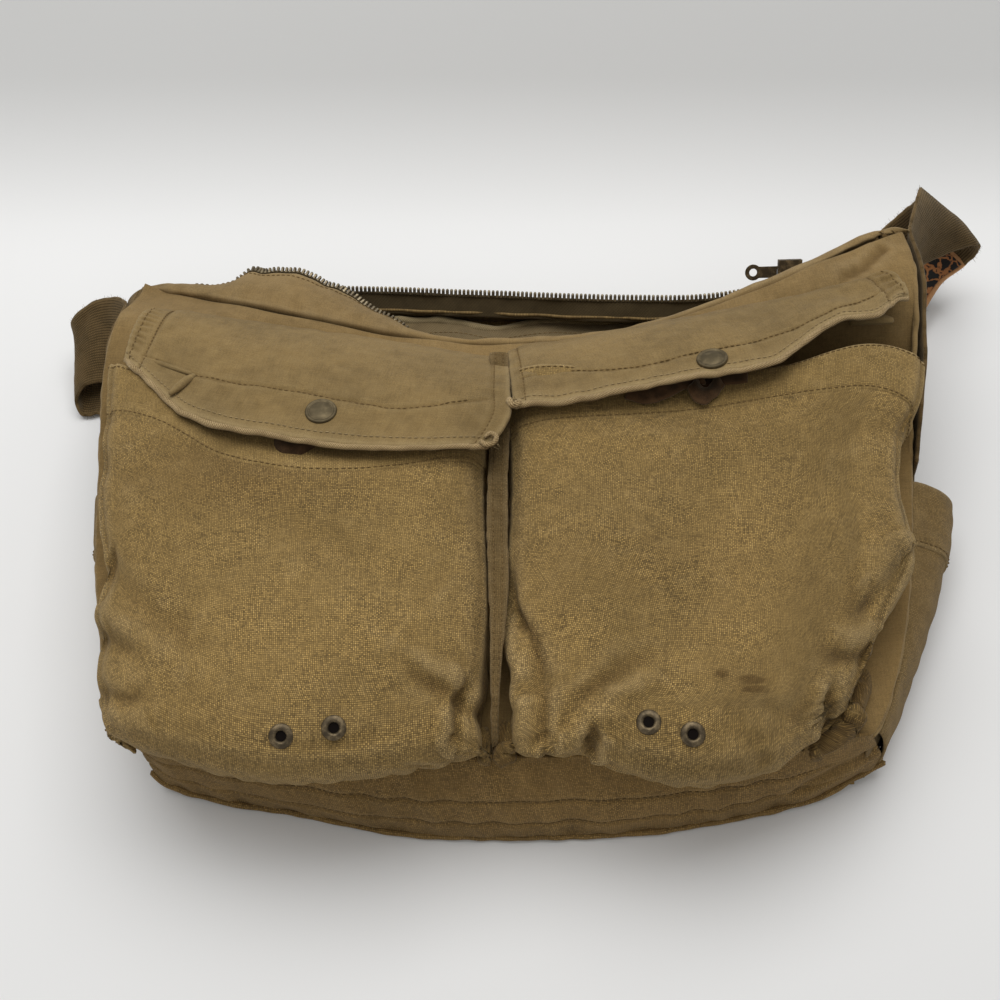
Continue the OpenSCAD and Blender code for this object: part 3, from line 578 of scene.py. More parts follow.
def canvas(name, base, worn, shade_and_grime_colour, pitch=0.84, contrast=1.0, relief=0.2, mottle=1.5, sheen=0.1):
    """Washed cotton duck: a plain weave whose crowns have faded and whose gaps keep their dye."""
    n = Nodes(name)
    wobble = (n.noise(n.uv, 14, 2) - 0.5) * 2.2
    u, v = n.parts(n.uv)
    u, v = u + wobble, v + wobble * -0.8
    wave_u, wave_v = n.sine(u, 2 * pitch), n.sine(v, 2 * pitch)
    warp_on_top = n.math("GREATER_THAN", wave_u * wave_v, 0.0)
    thick_u, thick_v = n.math("ABSOLUTE", wave_u), n.math("ABSOLUTE", wave_v)
    warp = thick_u.power(0.9) * thick_v.power(0.45)
    weft = thick_u.power(0.45) * thick_v.power(0.9)
    crown = warp_on_top * warp + warp_on_top.inverse() * (weft * 0.72)
    across, along = n.scale(n.uv, (2.2, 0.16, 1)), n.scale(n.uv, (0.16, 2.2, 1))
    slubs = n.noise(across, 1.6, 1) + n.noise(along, 1.6, 1) - 1.0
    cell = n.node("ShaderNodeCombineXYZ", {0: n.math("FLOOR", u * (1 / pitch)),
                                           1: n.math("FLOOR", v * (1 / pitch))}).outputs[0]
    chance = Value(n, n.node("ShaderNodeTexWhiteNoise", {"Vector": cell}, noise_dimensions="2D").outputs[0])
    crown = crown * (chance * 1.3 + 0.35)
    fuzz, small = n.noise(n.place, 0.55, 2, 0.6), n.noise(n.place, 7, 3, 0.6)
    patchy = n.noise(n.place, 60, 4, 0.55)
    tone = (patchy - 0.5) * mottle + (small - 0.5) * (0.28 * mottle) + slubs * 0.45 + (fuzz - 0.5) * 0.15
    dyed = n.colour(n.step(tone, -0.6, 0.6), tint(base, 0.72), tint(base, 1.22))
    faded = n.clamped(n.attribute("wear") + (small - 0.5) * 0.5)
    # the dirt map darkens the cloth towards the dark colour: real grime and stains, and painted shade in
    # hollows, seams and under the flaps
    grime_and_shade = n.clamped(n.attribute("dirt") + (patchy - 0.55) * 0.5)
    dyed = n.colour(grime_and_shade * 0.72, n.colour(faded * 0.75, dyed, worn), shade_and_grime_colour)
    strength = n.step(n.noise(n.place, 22, 2), 0.25, 0.75, 0.55 * contrast, contrast)
    gain = (strength * 0.56).inverse() + (crown + slubs * 0.35) * strength * 1.2
    grey = n.node("ShaderNodeCombineColor", {0: gain, 1: gain, 2: gain * 0.92 + 0.06}).outputs[0]
    return n.finish(n.colour(1.0, dyed, grey, "MULTIPLY"), n.step(small, 0.2, 0.8, 0.82, 0.95),
                    crown + (slubs * 0.5 + fuzz * 0.7), relief, sheen=sheen, specular=0.18)


def twill(name, base, worn, pitch=1.15, relief=0.2):
    """Cotton twill, with its diagonal ribs along a piping."""
    n = Nodes(name)
    u, v = n.parts(n.uv)
    rib = n.sine(u + v + (n.noise(n.uv, 3, 2) - 0.5) * 0.7, pitch) * 0.5 + 0.5
    cut = n.sine(u + v * -0.9, 1.9) * 0.5 + 0.5
    fuzz = n.noise(n.place, 0.5, 2, 0.6)
    colour = n.colour(n.step(rib * 0.6 + (cut * 0.2 + fuzz * 0.4), 0.15, 1.0), base, worn)
    colour = n.colour(n.step(n.noise(n.place, 9, 3, 0.6), 0.35, 0.75, 0.0, 0.45), colour, tint(base, 0.8))
    return n.finish(colour, 0.9, rib + fuzz, relief, sheen=0.25, specular=0.15)


def webbing(name, base, lit, rib=1.55, tick=0.95):
    """Ribbed cotton webbing: thick cross ribs in rows of small dark and light picks."""
    n = Nodes(name)
    u, v = n.parts(n.uv)
    wobble = (n.noise(n.uv, 5, 2) - 0.5) * 0.9
    along, side = u + wobble, v + wobble * 0.4
    shift = n.math("FRACT", n.math("FLOOR", along * (1 / rib)) * 0.5) * tick
    ribs = n.math("ABSOLUTE", n.sine(along, 2 * rib))
    ticks = n.math("ABSOLUTE", n.sine(side + shift, 2 * tick))
    height = ribs.power(0.6) * ticks.power(0.5)
    fuzz = n.noise(n.place, 0.5, 2, 0.65)
    tone = height * 0.75 + (fuzz * 0.5 + (n.noise(n.place, 16, 3, 0.6) - 0.5) * 0.9)
    colour = n.colour(n.step(tone + n.attribute("wear") * 0.6, 0.25, 1.25), base, lit)
    return n.finish(colour, 0.93, height + fuzz * 0.4, 0.3, sheen=0.2, specular=0.12)


def metal(name, base, bright, rough=0.42):
    """Dark antique plating, rubbed back to the brass in places."""
    n = Nodes(name)
    fine, broad = n.noise(n.place, 0.35, 2, 0.7), n.noise(n.place, 3.2, 3, 0.6)
    colour = n.colour(n.step(broad * 0.8 + fine * 0.3, 0.45, 0.8), base, bright)
    return n.finish(colour, n.step(fine, 0.2, 0.8, rough, rough + 0.2), fine + broad, 0.03, metal=0.85,
                    specular=0.5)


def suede(name, base, worn, relief=0.25):
    """Brushed leather, paler where it is worn."""
    n = Nodes(name)
    tone = n.noise(n.place, 0.45, 3, 0.7) * 0.7 + n.noise(n.place, 5, 3, 0.6) * 0.6
    colour = n.colour(n.step(tone + n.attribute("wear") * 0.5, 0.4, 1.05), base, worn)
    return n.finish(colour, 0.92, tone, relief, sheen=0.3, specular=0.15)


def thread(name, base):
    """Twisted sewing thread."""
    n = Nodes(name)
    u, v = n.parts(n.uv)
    twist = n.sine(u + v * 0.8, 0.5)
    tone = n.step(twist * 0.25 + n.noise(n.place, 6, 2), 0.2, 0.9)
    return n.finish(n.colour(tone, tint(base, 0.7), tint(base, 1.25)), 0.8, twist, 0.05, specular=0.25)


def cracked(name):
    """Black coating broken into plates, with tan leather between them."""
    n = Nodes(name)
    swirl = n.node("ShaderNodeTexNoise", {"Vector": n.place, "Scale": 0.2, "Detail": 2.0}).outputs[1]
    bent = n.node("ShaderNodeVectorMath", {0: n.place, 1: n.scale(swirl, (7, 7, 7))}, operation="ADD")
    cells = n.node("ShaderNodeTexVoronoi", {"Vector": bent.outputs[0], "Scale": 0.16},
                   feature="DISTANCE_TO_EDGE").outputs[0]
    gap = n.step(Value(n, cells) + (n.noise(n.place, 2.0, 3) - 0.5) * 0.25, 0.05, 0.13)
    colour = n.colour(gap, (0.36, 0.15, 0.055), (0.012, 0.011, 0.01))
    return n.finish(colour, n.step(gap, 0, 1, 0.9, 0.5), gap, 0.5, specular=0.3)


# the dark colour the canvas turns to, for grime and for painted shade
WORN, GRIME_AND_SHADE = (0.42, 0.305, 0.15), (0.09, 0.05, 0.015)
duck = canvas("duck", (0.258, 0.168, 0.059), WORN, GRIME_AND_SHADE, contrast=1.15)
duck_soft = canvas("duck_soft", (0.212, 0.138, 0.05), (0.38, 0.28, 0.14), GRIME_AND_SHADE, pitch=0.5, contrast=0.45,
                   relief=0.12, mottle=2.3, sheen=0.15)
duck_hem = canvas("duck_hem", (0.262, 0.171, 0.06), WORN, GRIME_AND_SHADE, contrast=0.8)
duck_facing = canvas("duck_facing", (0.225, 0.145, 0.055), (0.38, 0.28, 0.15), GRIME_AND_SHADE, pitch=0.5, contrast=0.4,
                     relief=0.1, mottle=1.8, sheen=0.15)
# a darker copy of the canvas: painted shade for the side walls and the welt between the pockets
duck_shaded = canvas("duck_shaded", (0.14, 0.09, 0.034), (0.28, 0.2, 0.1), GRIME_AND_SHADE, contrast=0.6)
duck_base = canvas("duck_base", (0.205, 0.125, 0.042), (0.31, 0.21, 0.09), (0.075, 0.047, 0.018))
duck_side = canvas("duck_side", (0.19, 0.122, 0.045), (0.34, 0.245, 0.12), GRIME_AND_SHADE, contrast=0.7)
piping_cloth = twill("piping_twill", (0.17, 0.105, 0.042), (0.52, 0.385, 0.2))
inner_twill = twill("inner_twill", (0.12, 0.085, 0.042), (0.2, 0.145, 0.07), pitch=1.4)
hem_twill = twill("hem_twill", (0.185, 0.14, 0.07), (0.33, 0.255, 0.14), pitch=1.3)
tape_cloth = twill("tape_cloth", (0.045, 0.031, 0.014), (0.1, 0.072, 0.034), pitch=0.9, relief=0.08)
strap_web = webbing("strap_web", (0.03, 0.018, 0.006), (0.165, 0.107, 0.045))
brass = metal("antique_brass", (0.085, 0.065, 0.04), (0.3, 0.225, 0.125))
cap_metal = metal("snap_metal", (0.1, 0.078, 0.043), (0.18, 0.14, 0.078), rough=0.5)
tooth_metal = metal("tooth_metal", (0.13, 0.105, 0.07), (0.4, 0.33, 0.21), rough=0.4)
patch = suede("patch_suede", (0.022, 0.011, 0.005), (0.085, 0.045, 0.02))
pad_tan = suede("pad_tan", (0.26, 0.105, 0.036), (0.52, 0.27, 0.12), relief=0.15)
pad_black = cracked("pad_black")
tan_thread = thread("tan_thread", (0.19, 0.12, 0.045))
pale_thread = thread("pale_thread", (0.36, 0.26, 0.13))
# near-black, painted shade for the inside of the eyelet holes
hollow = Nodes("hollow").finish((0.006, 0.004, 0.003), 0.9, specular=0.1)


# ---------- camera, light and floor ----------
AIM = np.array([0.0, 0.0, 40.0])
TILT = math.radians(54)
EYE = AIM + 600 * np.array([0.0, -math.cos(TILT), math.sin(TILT)])


def add_to_scene(name, data):
    """A studio object; nothing of the bag."""
    obj = bpy.data.objects.new(name, data)
    bpy.context.scene.collection.objects.link(obj)
    return obj


def turned_to(obj, way):
    """Turns a light or the camera to look along way."""
    obj.rotation_euler = Vector(way).to_track_quat("-Z", "Y").to_euler()


def studio():
    """A pale floor with a low slope behind the bag, painted darker towards the back as shade, one broad soft
    lamp overhead and an even sky.
    """
    scene = bpy.context.scene
    scene.view_settings.view_transform = "Standard"
    cam = add_to_scene("camera", bpy.data.cameras.new("camera"))
    cam.location = Vector(EYE * MM)
    turned_to(cam, (AIM - EYE) * MM)
    cam.data.lens, cam.data.sensor_width = 43.2, 36
    scene.camera = cam
    lamp = add_to_scene("softbox", bpy.data.lights.new("softbox", "AREA"))
    lamp.data.shape, lamp.data.size, lamp.data.size_y, lamp.data.energy = "RECTANGLE", 1.7, 1.1, 17
    lamp.location = (-0.12, 0.4, 1.4)
    turned_to(lamp, Vector((0, 0.0, 0.03)) - lamp.location)
    scene.world = bpy.data.worlds.new("sky")
    scene.world.use_nodes = True
    sky = scene.world.node_tree.nodes["Background"].inputs
    sky[0].default_value, sky[1].default_value = (1.0, 0.985, 0.965, 1), 0.44
    far_side, flat_to, bend = 3200, 250, 150
    profile = [(-far_side, 0), (flat_to, 0)]
    profile += [(flat_to + bend * math.sin(a), bend - bend * math.cos(a))
                for a in np.linspace(0.06, 0.75, 12)]
    profile += [(412, 96), (440, 112), (480, 120), (far_side, 120)]
    verts = [(x, y, z) for y, z in profile for x in (-far_side, far_side)]
    faces = [(2 * i, 2 * i + 1, 2 * i + 3, 2 * i + 2) for i in range(len(profile) - 1)]
    paper = Nodes("paper")
    tone = paper.colour(paper.noise(paper.place, 260, 2), (0.80, 0.803, 0.80), (0.83, 0.833, 0.83))
    # painted shade: the paper darkens from y = 210 to 400 mm, over the slope behind the bag
    tone = paper.colour(paper.step(paper.parts(paper.place)[1], 210, 400), tone, (0.58, 0.582, 0.575))
    new_object("floor", verts, faces, paper.finish(tone, 0.75, specular=0.2), None)


# ---------- the shape of the bag, as in the part's source ----------
BASE_Y, TOP_Y = -132, 140    # the front's lower and upper corners
SIDE_INSET = 6               # the front's edge inside the widest line of the side
BACK_SPLAY = {LEFT: -8, RIGHT: 10}   # how far the back stands out past the front, on each side


def skew(y):
    """How far the whole bag leans to the right at y."""
    return 5 * (y + 150) / 300


def half_width(y):
    """Half the bag's width at y."""
    up = np.maximum(y - BASE_Y, 0) / (TOP_Y - BASE_Y)
    return mix(164, 216, np.sin(math.pi / 2 * np.minimum(1, up ** 0.7)))


def plain_z(x, y):
    """Height of the front without its roll."""
    right, left = smooth(40, 216, x), smooth(40, 216, -x)
    high = smooth(20, 140, y)
    return 50 + 40 * right * high + 6 * left * high - 10 * (1 - smooth(0, 150, np.abs(x))) * smooth(0, 100, y)


def front_z(x, y):
    """Height of the front, with the roll under the flaps' seam."""
    return plain_z(x, y) + 15 * (smooth(-10, 85, y) - 0.9 * smooth(95, 140, y))


def seam_y(x):
    """The flaps' seam."""
    return 92 + 48 * np.minimum(1, np.abs(x - 5) / 210) ** 2.2


def panel_xy(s, t):
    """A place on the front: s from -1 to 1 across, t from 0 to 1 up."""
    y0 = mix(BASE_Y, TOP_Y, t)
    x = s * (half_width(y0) - SIDE_INSET) + skew(y0)
    return x, y0 - 10 * (1 - s * s) * (1 - t) ** 2 + (seam_y(x) - TOP_Y) * t**3


def back_z(y):
    """Height of the back, which lifts off the ground at the mouth."""
    return 2 + 12 * np.clip((y - 40) / 24, 0, 1)


def back_side_x(side, y):
    """The back's edge on a side."""
    return side * (half_width(y) - SIDE_INSET + BACK_SPLAY[side]) + skew(y)


def base_y(s):
    """The lower edge of the back, as y."""
    return BASE_Y - 26 * (1 - s * s)


def base_x(s):
    """The lower edge of the back, as x."""
    splay = np.where(s < 0, BACK_SPLAY[LEFT], BACK_SPLAY[RIGHT])
    return s * (158 + splay * np.abs(s) ** 3) + skew(BASE_Y)


def wall_point(side, y, t, out=0.0):
    """A point on a side wall, from 0 at the back to 1 at the front, and some way out of it."""
    x_top = side * (half_width(y) - SIDE_INSET) + skew(y)
    x = mix(back_side_x(side, y) - side * 2, x_top, t) + side * out
    y = np.broadcast_to(y, np.shape(x)).astype(float)
    return np.stack([x, y, mix(back_z(y) + 0.4, front_z(x_top, y) - 2.8, t)], -1)


def seen(p, points):
    """Row and column of the places on a surface that lie behind the given ones, seen from the front."""
    n = normals(p).reshape(-1, 3)
    flat = p.reshape(-1, 3)
    out = []
    for q in np.atleast_2d(np.asarray(points, float)):
        d = unit(q - EYE)
        w = flat - EYE
        k = w @ d
        gap = np.linalg.norm(w - k[:, None] * d, axis=1) + np.where(n @ d > 0, 25, 0) + 0.01 * k
        out.append(divmod(int(np.argmin(gap)), p.shape[1]))
    return out


def onto(p, points, per=6):
    """A line on a surface, given by places in front of it or behind it."""
    return np.array([p[i, j] for i, j in seen(p, dense(points, per) if len(points) > 2 else points)])


def crease(p, line, depth, width, lip=0.0, ends=(0.15, 0.3)):
    """A fold along a line that is given as the camera sees it."""
    return fold(p, onto(p, line, 3), depth, width, lip, ends)


stitches = {body: Stitches() for body in ("bag", *BODY_OF_FLAP.values())}
light_stitches = {body: Stitches() for body in BODY_OF_FLAP.values()}
sew = stitches["bag"].on


# ---------- the two pockets on the front ----------
# The round at a pocket's outer seam, its inner seam and its foot: place on the cloth, distance from the
# seam and share of the height. The other tables give the distance of a line from x = 0, or its y there.
OUT = [(0, 7, 0), (0.03, 2.5, 0.1), (0.06, 0.4, 0.3), (0.10, 0, 0.5), (0.15, 2.5, 0.74), (0.21, 10, 0.91),
       (0.29, 26, 0.985), (0.38, 48, 1)]
INNER = [(0.70, 45, 1), (0.79, 26, 0.98), (0.86, 12, 0.9), (0.915, 4, 0.72), (0.95, 0.8, 0.45),
         (0.975, 0, 0.2), (1, 0.3, 0)]
FOOT = [(0, 15, 0), (0.04, 7, 0.06), (0.08, 1.5, 0.2), (0.12, 0, 0.4), (0.16, 2, 0.58), (0.21, 8, 0.76),
        (0.27, 19, 0.88), (0.34, 36, 0.955), (0.42, 56, 0.985)]
POCKET_OUTER = {
    LEFT: [(-135, 162), (-127, 166.4), (-119, 169), (-111, 170), (-92, 172.7), (-62, 175.5), (-44, 180),
           (-23, 184.5), (17, 190.8), (54, 194.3)],
    RIGHT: [(-137, 139), (-129, 149.6), (-119, 153), (-111, 158), (-95, 163.5), (-75, 174), (-62, 180.7),
            (-51, 182.3), (-22, 184.2), (2, 190.6), (19, 200.2), (48, 207.5)]}
POCKET_LIP = {
    LEFT: [(0, -142), (11, -146.8), (25, -152), (49, -155.9), (70, -157.2), (90, -158), (114, -155.5),
           (133, -150.3), (151, -142.8), (164, -134.6), (172, -124)],
    RIGHT: [(0, -142.7), (18, -148), (39, -147.8), (50, -152), (66, -156.4), (81, -157.7), (101, -156.4),
            (115, -153.4), (127, -146.3), (138, -137.3), (149, -129), (158, -118)]}
POCKET_MOUTH = {
    LEFT: [(0, 31), (9, 31), (46, 24), (91, 20), (120, 27), (145, 36), (160, 40), (174, 44), (194, 54)],
    RIGHT: [(0, 50), (8, 50), (60, 44), (100, 42), (136, 41.6), (181, 52), (206, 47)]}
POCKET_INNER = {LEFT: 6.0, RIGHT: 2.4}
POCKET_HEM = {
    LEFT: [(0, -7), (9, -7.5), (46, -15), (91, -19.4), (120, -12.8), (133, -7.3), (145, 0.6), (159, 9.5),
           (175, 17), (194, 23.5)],
    RIGHT: [(0, 12), (8, 13), (60, 17.5), (108, 21), (149, 24.6), (180, 25.6), (199, 20), (206, 17)]}
HEM_FROM = 0.86              # where the hem starts, from 0 at the foot to 1 at the mouth
OUT_TO, INNER_FROM, FOOT_TO = 0.38, 0.70, 0.42   # where the rounds at a pocket's edges end
HEM_T, POCKET_T = 2.4, 1.5   # thickness


def table(rows, t, column):
    """One column of a table, at t."""
    return lookup([(r[0], r[column]) for r in rows], t)


def pocket_top(side, x, y):
    """Height of a full pocket at x, counted away from the middle, and y."""
    if side == LEFT:
        return 90 + 2.5 * bell(x - 95, 60) - 3.5 * smooth(0, 50, y) + 1.5 * smooth(120, 180, x)
    return 88 + 2 * bell(x - 95, 55) + 11 * smooth(70, 205, x) * smooth(-50, 50, y)


def pocket_surface(side, n=152, m=160):
    """One pocket, columns from its outer seam to the welt and rows from its foot to its mouth."""
    s, t = grid(np.linspace(0, 1, n), row_places(m))
    near, far = table(OUT, s, 1), table(INNER, s, 1)
    share_s = np.where(s < OUT_TO, table(OUT, s, 2), np.where(s > INNER_FROM, table(INNER, s, 2), 1))
    foot_t = np.minimum(t, FOOT_TO)
    share_t = np.where(t < FOOT_TO, table(FOOT, foot_t, 2), 0.985 + 0.015 * smooth(FOOT_TO, 0.55, t))
    y = np.full(s.shape, -60.0)
    # each point's y depends on its x and the other way round, so both are drawn in step by step
    for _ in range(14):
        outer = lookup(POCKET_OUTER[side], np.clip(y, -137, 54))
        inner = POCKET_INNER[side]
        middle = mix(outer - OUT[-1][1], inner + INNER[0][1], np.clip((s - OUT_TO) / 0.32, 0, 1))
        x = np.where(s < OUT_TO, outer - near, np.where(s > INNER_FROM, inner + far, middle))
        lip_y, mouth_y, hem_y = (lookup(line[side], x) for line in (POCKET_LIP, POCKET_MOUTH, POCKET_HEM))
        up = np.clip((t - FOOT_TO) / (HEM_FROM - FOOT_TO), 0, 1)
        rest = np.where(t < HEM_FROM, mix(lip_y + FOOT[-1][1], hem_y, up),
                        mix(hem_y, mouth_y, (t - HEM_FROM) / (1 - HEM_FROM)))
        y = 0.5 * y + 0.5 * np.where(t < FOOT_TO, lip_y + table(FOOT, foot_t, 1), rest)
    bottom = front_z(side * x, np.clip(y, BASE_Y, TOP_Y)) + 1.2
    z = bottom + (pocket_top(side, x, y) - bottom) * share_s * share_t
    p = np.stack([side * x, y, z], 2)
    return facing_way(p, (0, 0, 1))


def row_places(m):
    """Where the rows of a pocket lie, from 0 at the foot to 1 at the mouth."""
    t = np.linspace(0, 1, m)
    return t**0.92 * 0.35 + t * 0.65


# A line of places in front of the pocket, the depth and width of the fold and the height of its lip, and
# the share of its length over which it fades in and out.
FOLDS = {
    LEFT: [
        ([(-178, -56, 70), (-166, -72, 78), (-152, -86, 80), (-130, -103, 84), (-111, -117, 84)],
         3.2, 8, 1.8, (0.04, 0.35)),
        ([(-112, -40, 90), (-72, -62, 91), (-24, -86, 87)], 2.6, 12, 0.9, (0.3, 0.1)),
        ([(-177, -92, 66), (-160, -104, 78), (-141, -112, 84)], 2.4, 5, -1.5, (0.0, 0.5)),
        ([(-172, -118, 60), (-158, -124, 70), (-140, -126, 78)], 2.6, 4.5, 1.5, (0.0, 0.5)),
        ([(-12, -118, 80), (-15, -132, 78), (-18, -141.5, 66)], 4.2, 3.4, 2.0, (0.35, 0.0)),
        ([(-60, -92, 90), (-43, -111, 87), (-29, -117, 84), (-11, -123.5, 82)], -2.2, 6, 0.0, (0.5, 0.2)),
        ([(-50, -104, 88), (-32, -122, 84), (-16, -131, 80), (-7, -136, 74)], 2.6, 4.5, 0.0, (0.45, 0.0)),
        ([(-36, -138, 76), (-60, -146, 74), (-95, -149, 72)], 1.3, 4, 0.0, (0.3, 0.4)),
        ([(-190, -5, 76), (-172, -18, 86), (-150, -22, 90)], 1.6, 8, -0.8, (0.0, 0.5)),
        ([(-125, -20, 90), (-80, -60, 91), (-50, -85, 90)], 1.2, 12, 0.6, (0.4, 0.4))],
    RIGHT: [
        ([(3, -60, 76), (6.4, -93, 80), (12.7, -105, 80), (15.5, -121, 77), (17, -140.5, 64)],
         5.5, 4.2, 3.2, (0.4, 0.0)),
        ([(26, -137, 74), (37, -126, 80), (54, -116, 84), (75, -106, 86)], 3.0, 5.0, 2.0, (0.0, 0.5)),
        ([(36.5, -147.5, 66), (38, -143, 72), (41, -137, 76)], 4.2, 2.8, 2.2, (0.0, 0.4)),
        ([(143, -118, 74), (138, -125, 70), (134, -135, 64)], 4.0, 3.4, 2.2, (0.35, 0.0)),
        ([(181, -60, 76), (168, -78, 80), (156, -90, 84), (146, -95, 86)], 3.0, 6, 2.0, (0.0, 0.5)),
        ([(160, -106, 72), (146, -111, 80), (130, -112, 86)], 2.4, 5, 1.4, (0.0, 0.5)),
        ([(108, -150, 66), (98, -142, 76), (86, -139, 80)], 1.2, 4, 0.0, (0.0, 0.5)),
        ([(194, 8, 88), (172, 0, 96), (146, -4, 97)], 1.6, 8, -1.0, (0.0, 0.5)),
        ([(120, 5, 96), (95, -40, 92), (60, -75, 90)], 1.2, 13, 0.7, (0.4, 0.4))]}


def shaped(p, side):
    """A pocket sunk under its flap, with slow waves and its folds."""
    if side == LEFT:
        p[..., 2] -= 5.5 * bell(p[..., 0] + 98, 52) * smooth(-26, -2, p[..., 1])
    else:
        p[..., 2] -= 4.5 * bell(p[..., 0] - 78, 46) * smooth(2, 24, p[..., 1])
    p = raised(p, 2.0 * waves(p[..., :2], 70, 3 if side == LEFT else 8))
    for line, *how in FOLDS[side]:
        p = crease(p, line, *how)
    return p


def seam_puckers(p, side):
    """Small gathers along the seams beside the welt, the foot and the outer side."""
    flat = metric(p)
    columns, rows = flat[..., 0] - flat[:, :1, 0], flat[..., 1]
    inner, outer = columns[:, -1:] - columns, columns
    if side == RIGHT:
        inner, outer = outer, inner
    from_foot = rows - rows[:1]
    lift = waves(pair(rows, inner * 0.22), 7.0, 21 + side) * bell(inner - 5, 9)
    lift += 0.6 * waves(pair(rows, outer * 0.2), 9.0, 31 + side) * bell(outer - 7, 10)
    lift += 1.1 * waves(pair(columns, from_foot * 0.25), 8.0, 41 + side) * bell(from_foot - 12, 12)
    return raised(p, lift * 0.9)


EYELET = [(2.1, -3.0), (2.1, 0.4), (2.4, 1.0), (3.0, 1.35), (3.8, 1.25), (4.7, 0.8), (5.1, 0.25),
          (5.0, -0.2), (3.0, -0.3), (2.6, -3.0)]
EYELETS_AT = {LEFT: [(-89, -142, 72), (-68, -139.8, 73)], RIGHT: [(61, -137, 74), (79, -142, 72)]}


def eyelets(name, p, places):
    """Two-part metal eyelets, rolled over the edge of their hole."""
    n = normals(soften(p, 6))
    spots = [(p[at] - n[at] * 0.35, n[at]) for at in seen(p, places)]
    lathe(f"eyelet_pair_{name}", EYELET, spots, brass, replaces=[f"eyelets_{name}", f"eyelet_washers_{name}"])
    # painted shade: a near-black disc fills each eyelet's hole
    lathe(f"eyelet_pair_{name}_hole_shade", [(0.01, 0.42), (2.5, 0.42)], spots, hollow)


def pocket(side):
    """A pocket with its hem and eyelets; returns its cloth as a grid."""
    name = SIDES[side]
    p = shaped(pocket_surface(side), side)
    p = settle(p, inside_mask(p), extra=0.007, rounds=110, seed=5 + side, start=0.35, size=34, keep=0.012)
    p = seam_puckers(p, side)
    p = raised(p, 0.1 * waves(p, 5.5, 60 + side) * inside_mask(p, 3))
    cut = int(np.argmin(np.abs(row_places(len(p)) - HEM_FROM)))
    rows = metric(p)[..., 1]
    p = raised(p, -0.5 * bell(rows - rows[cut][None], 1.4))
    n = normals(p)[cut - 1:]
    puff = 0.5 + 0.7 * np.sin(math.pi * np.linspace(0, 1, len(n))) ** 0.6
    hem = p[cut - 1:] + n * puff[:, None, None]
    hem[-1] -= n[-1] * 0.6
    # darker towards the foot of the pocket
    low = smooth(30, 0, metric(p)[..., 1] - metric(p)[:1, :, 1])
    x, y = p[..., 0], p[..., 1]
    # painted shade: darker where the hem sinks under the left flap, and over the middle of the right pocket;
    # the stain below is real
    shade = 0.55 * bell(x + 118, 48) * bell(y + 20, 24) + 0.25 * bell(x - 60, 60) * bell(y + 70, 30)
    stain = 2.2 * bell(x - 103, 5) * (bell(y + 125, 1.2) + bell(y + 129, 1.1))
    stain += 1.3 * bell(x - 90, 2.8) * bell(y + 123, 1.7) + 0.25 * bell(x - 96, 12) * bell(y + 125, 7)
    cloth(f"pocket_{name}_cloth", p[:cut + 4], POCKET_T, duck, [f"pocket_{name}"],
          dirt=(0.25 * low + stain + shade)[:cut + 4])
    cloth(f"pocket_{name}_hem_band", hem, HEM_T, duck_hem, [f"pocket_{name}_hem"],
          edge_wear=(0.15, 0.55, 0.2, 0.2))
    sew(hem, row=0.05)
    sew(hem, row=0.93)
    eyelets(name, p, EYELETS_AT[side])
    return p


studio()
pockets = {side: pocket(side) for side in (LEFT, RIGHT)}


# ---------- welt between the pockets ----------
def centre_welt():
    """The folded strip between the pockets, wider towards the mouth."""
    y = np.linspace(-141, 66, 150)
    half = mix(1.6, 4.6, smooth(-140, -60, y))
    middle = -1.7 + 0.008 * (y + 140) + 0.5 * np.sin(y / 17)
    top = np.interp(y, [-141, -136, -125, -105, -60, 66], [58, 66, 74, 78.5, 80, 77])
    q = np.linspace(-1, 1, 15)
    x = middle[:, None] + half[:, None] * q[None]
    z = top[:, None] - 1.2 + 1.6 * (1 - 0.8 * np.abs(q) ** 2.6)[None]
    p = np.stack([x, np.broadcast_to(y[:, None], x.shape), z], 2)
    p = raised(p, 0.35 * waves(p, 6, 4))
    # the welt takes the shaded canvas: painted shade between the pockets
    cloth("centre_welt_fold", p, 2.2, duck_shaded, ["centre_welt"], edge_wear=(0, 0, 0.5, 0.5))
    sew(p, column=0.3)
    sew(p, column=0.7)


centre_welt()


# ---------- the two flaps ----------
FLAP_SEAM = {
    LEFT: [(-184.5, 100.3, 72), (-179.7, 101.4, 71.3), (-145, 97.5, 70), (-109, 92.7, 67.5),
           (-53, 87.9, 61.2), (2.6, 77, 59)],
    RIGHT: [(4.2, 81.8, 60), (10.6, 85.2, 61), (31.6, 86.6, 64), (52.5, 88.8, 67), (83.4, 90.7, 74),
            (113.8, 91.7, 81), (143.7, 93.3, 88), (173.8, 97.3, 94), (197.1, 102.5, 98)]}
FLAP_EDGE = {
    LEFT: [(-185.5, 54, 87.5), (-171.5, 38, 90.5), (-159.4, 24.3, 92), (-146.1, 11, 95), (-134.5, 5.3, 96),
           (-122.4, .8, 97), (-108.2, -2.1, 97), (-91.7, -6.1, 97.5), (-73.1, -9, 97.5), (-54.8, -10.1, 97),
           (-36.6, -10, 96.5), (-18.3, -8.3, 95.5), (-4.6, -7.2, 94.5)],
    RIGHT: [(6.6, 17.8, 93), (13, 19.6, 93.5), (23.7, 19.2, 94), (37.9, 20.9, 95), (56.8, 24.1, 97.5),
            (75.7, 26.3, 100), (94.6, 28.8, 103), (116.7, 31.6, 105), (131.4, 35.6, 105.5),
            (140, 43, 105.5), (152.6, 54.4, 105.5), (160.3, 60.2, 105.5), (167.8, 64.6, 105.3),
            (175.9, 66, 104.5), (183.6, 67.3, 104), (192.9, 75.6, 103), (199, 80.4, 102),
            (204.4, 82.2, 101)]}
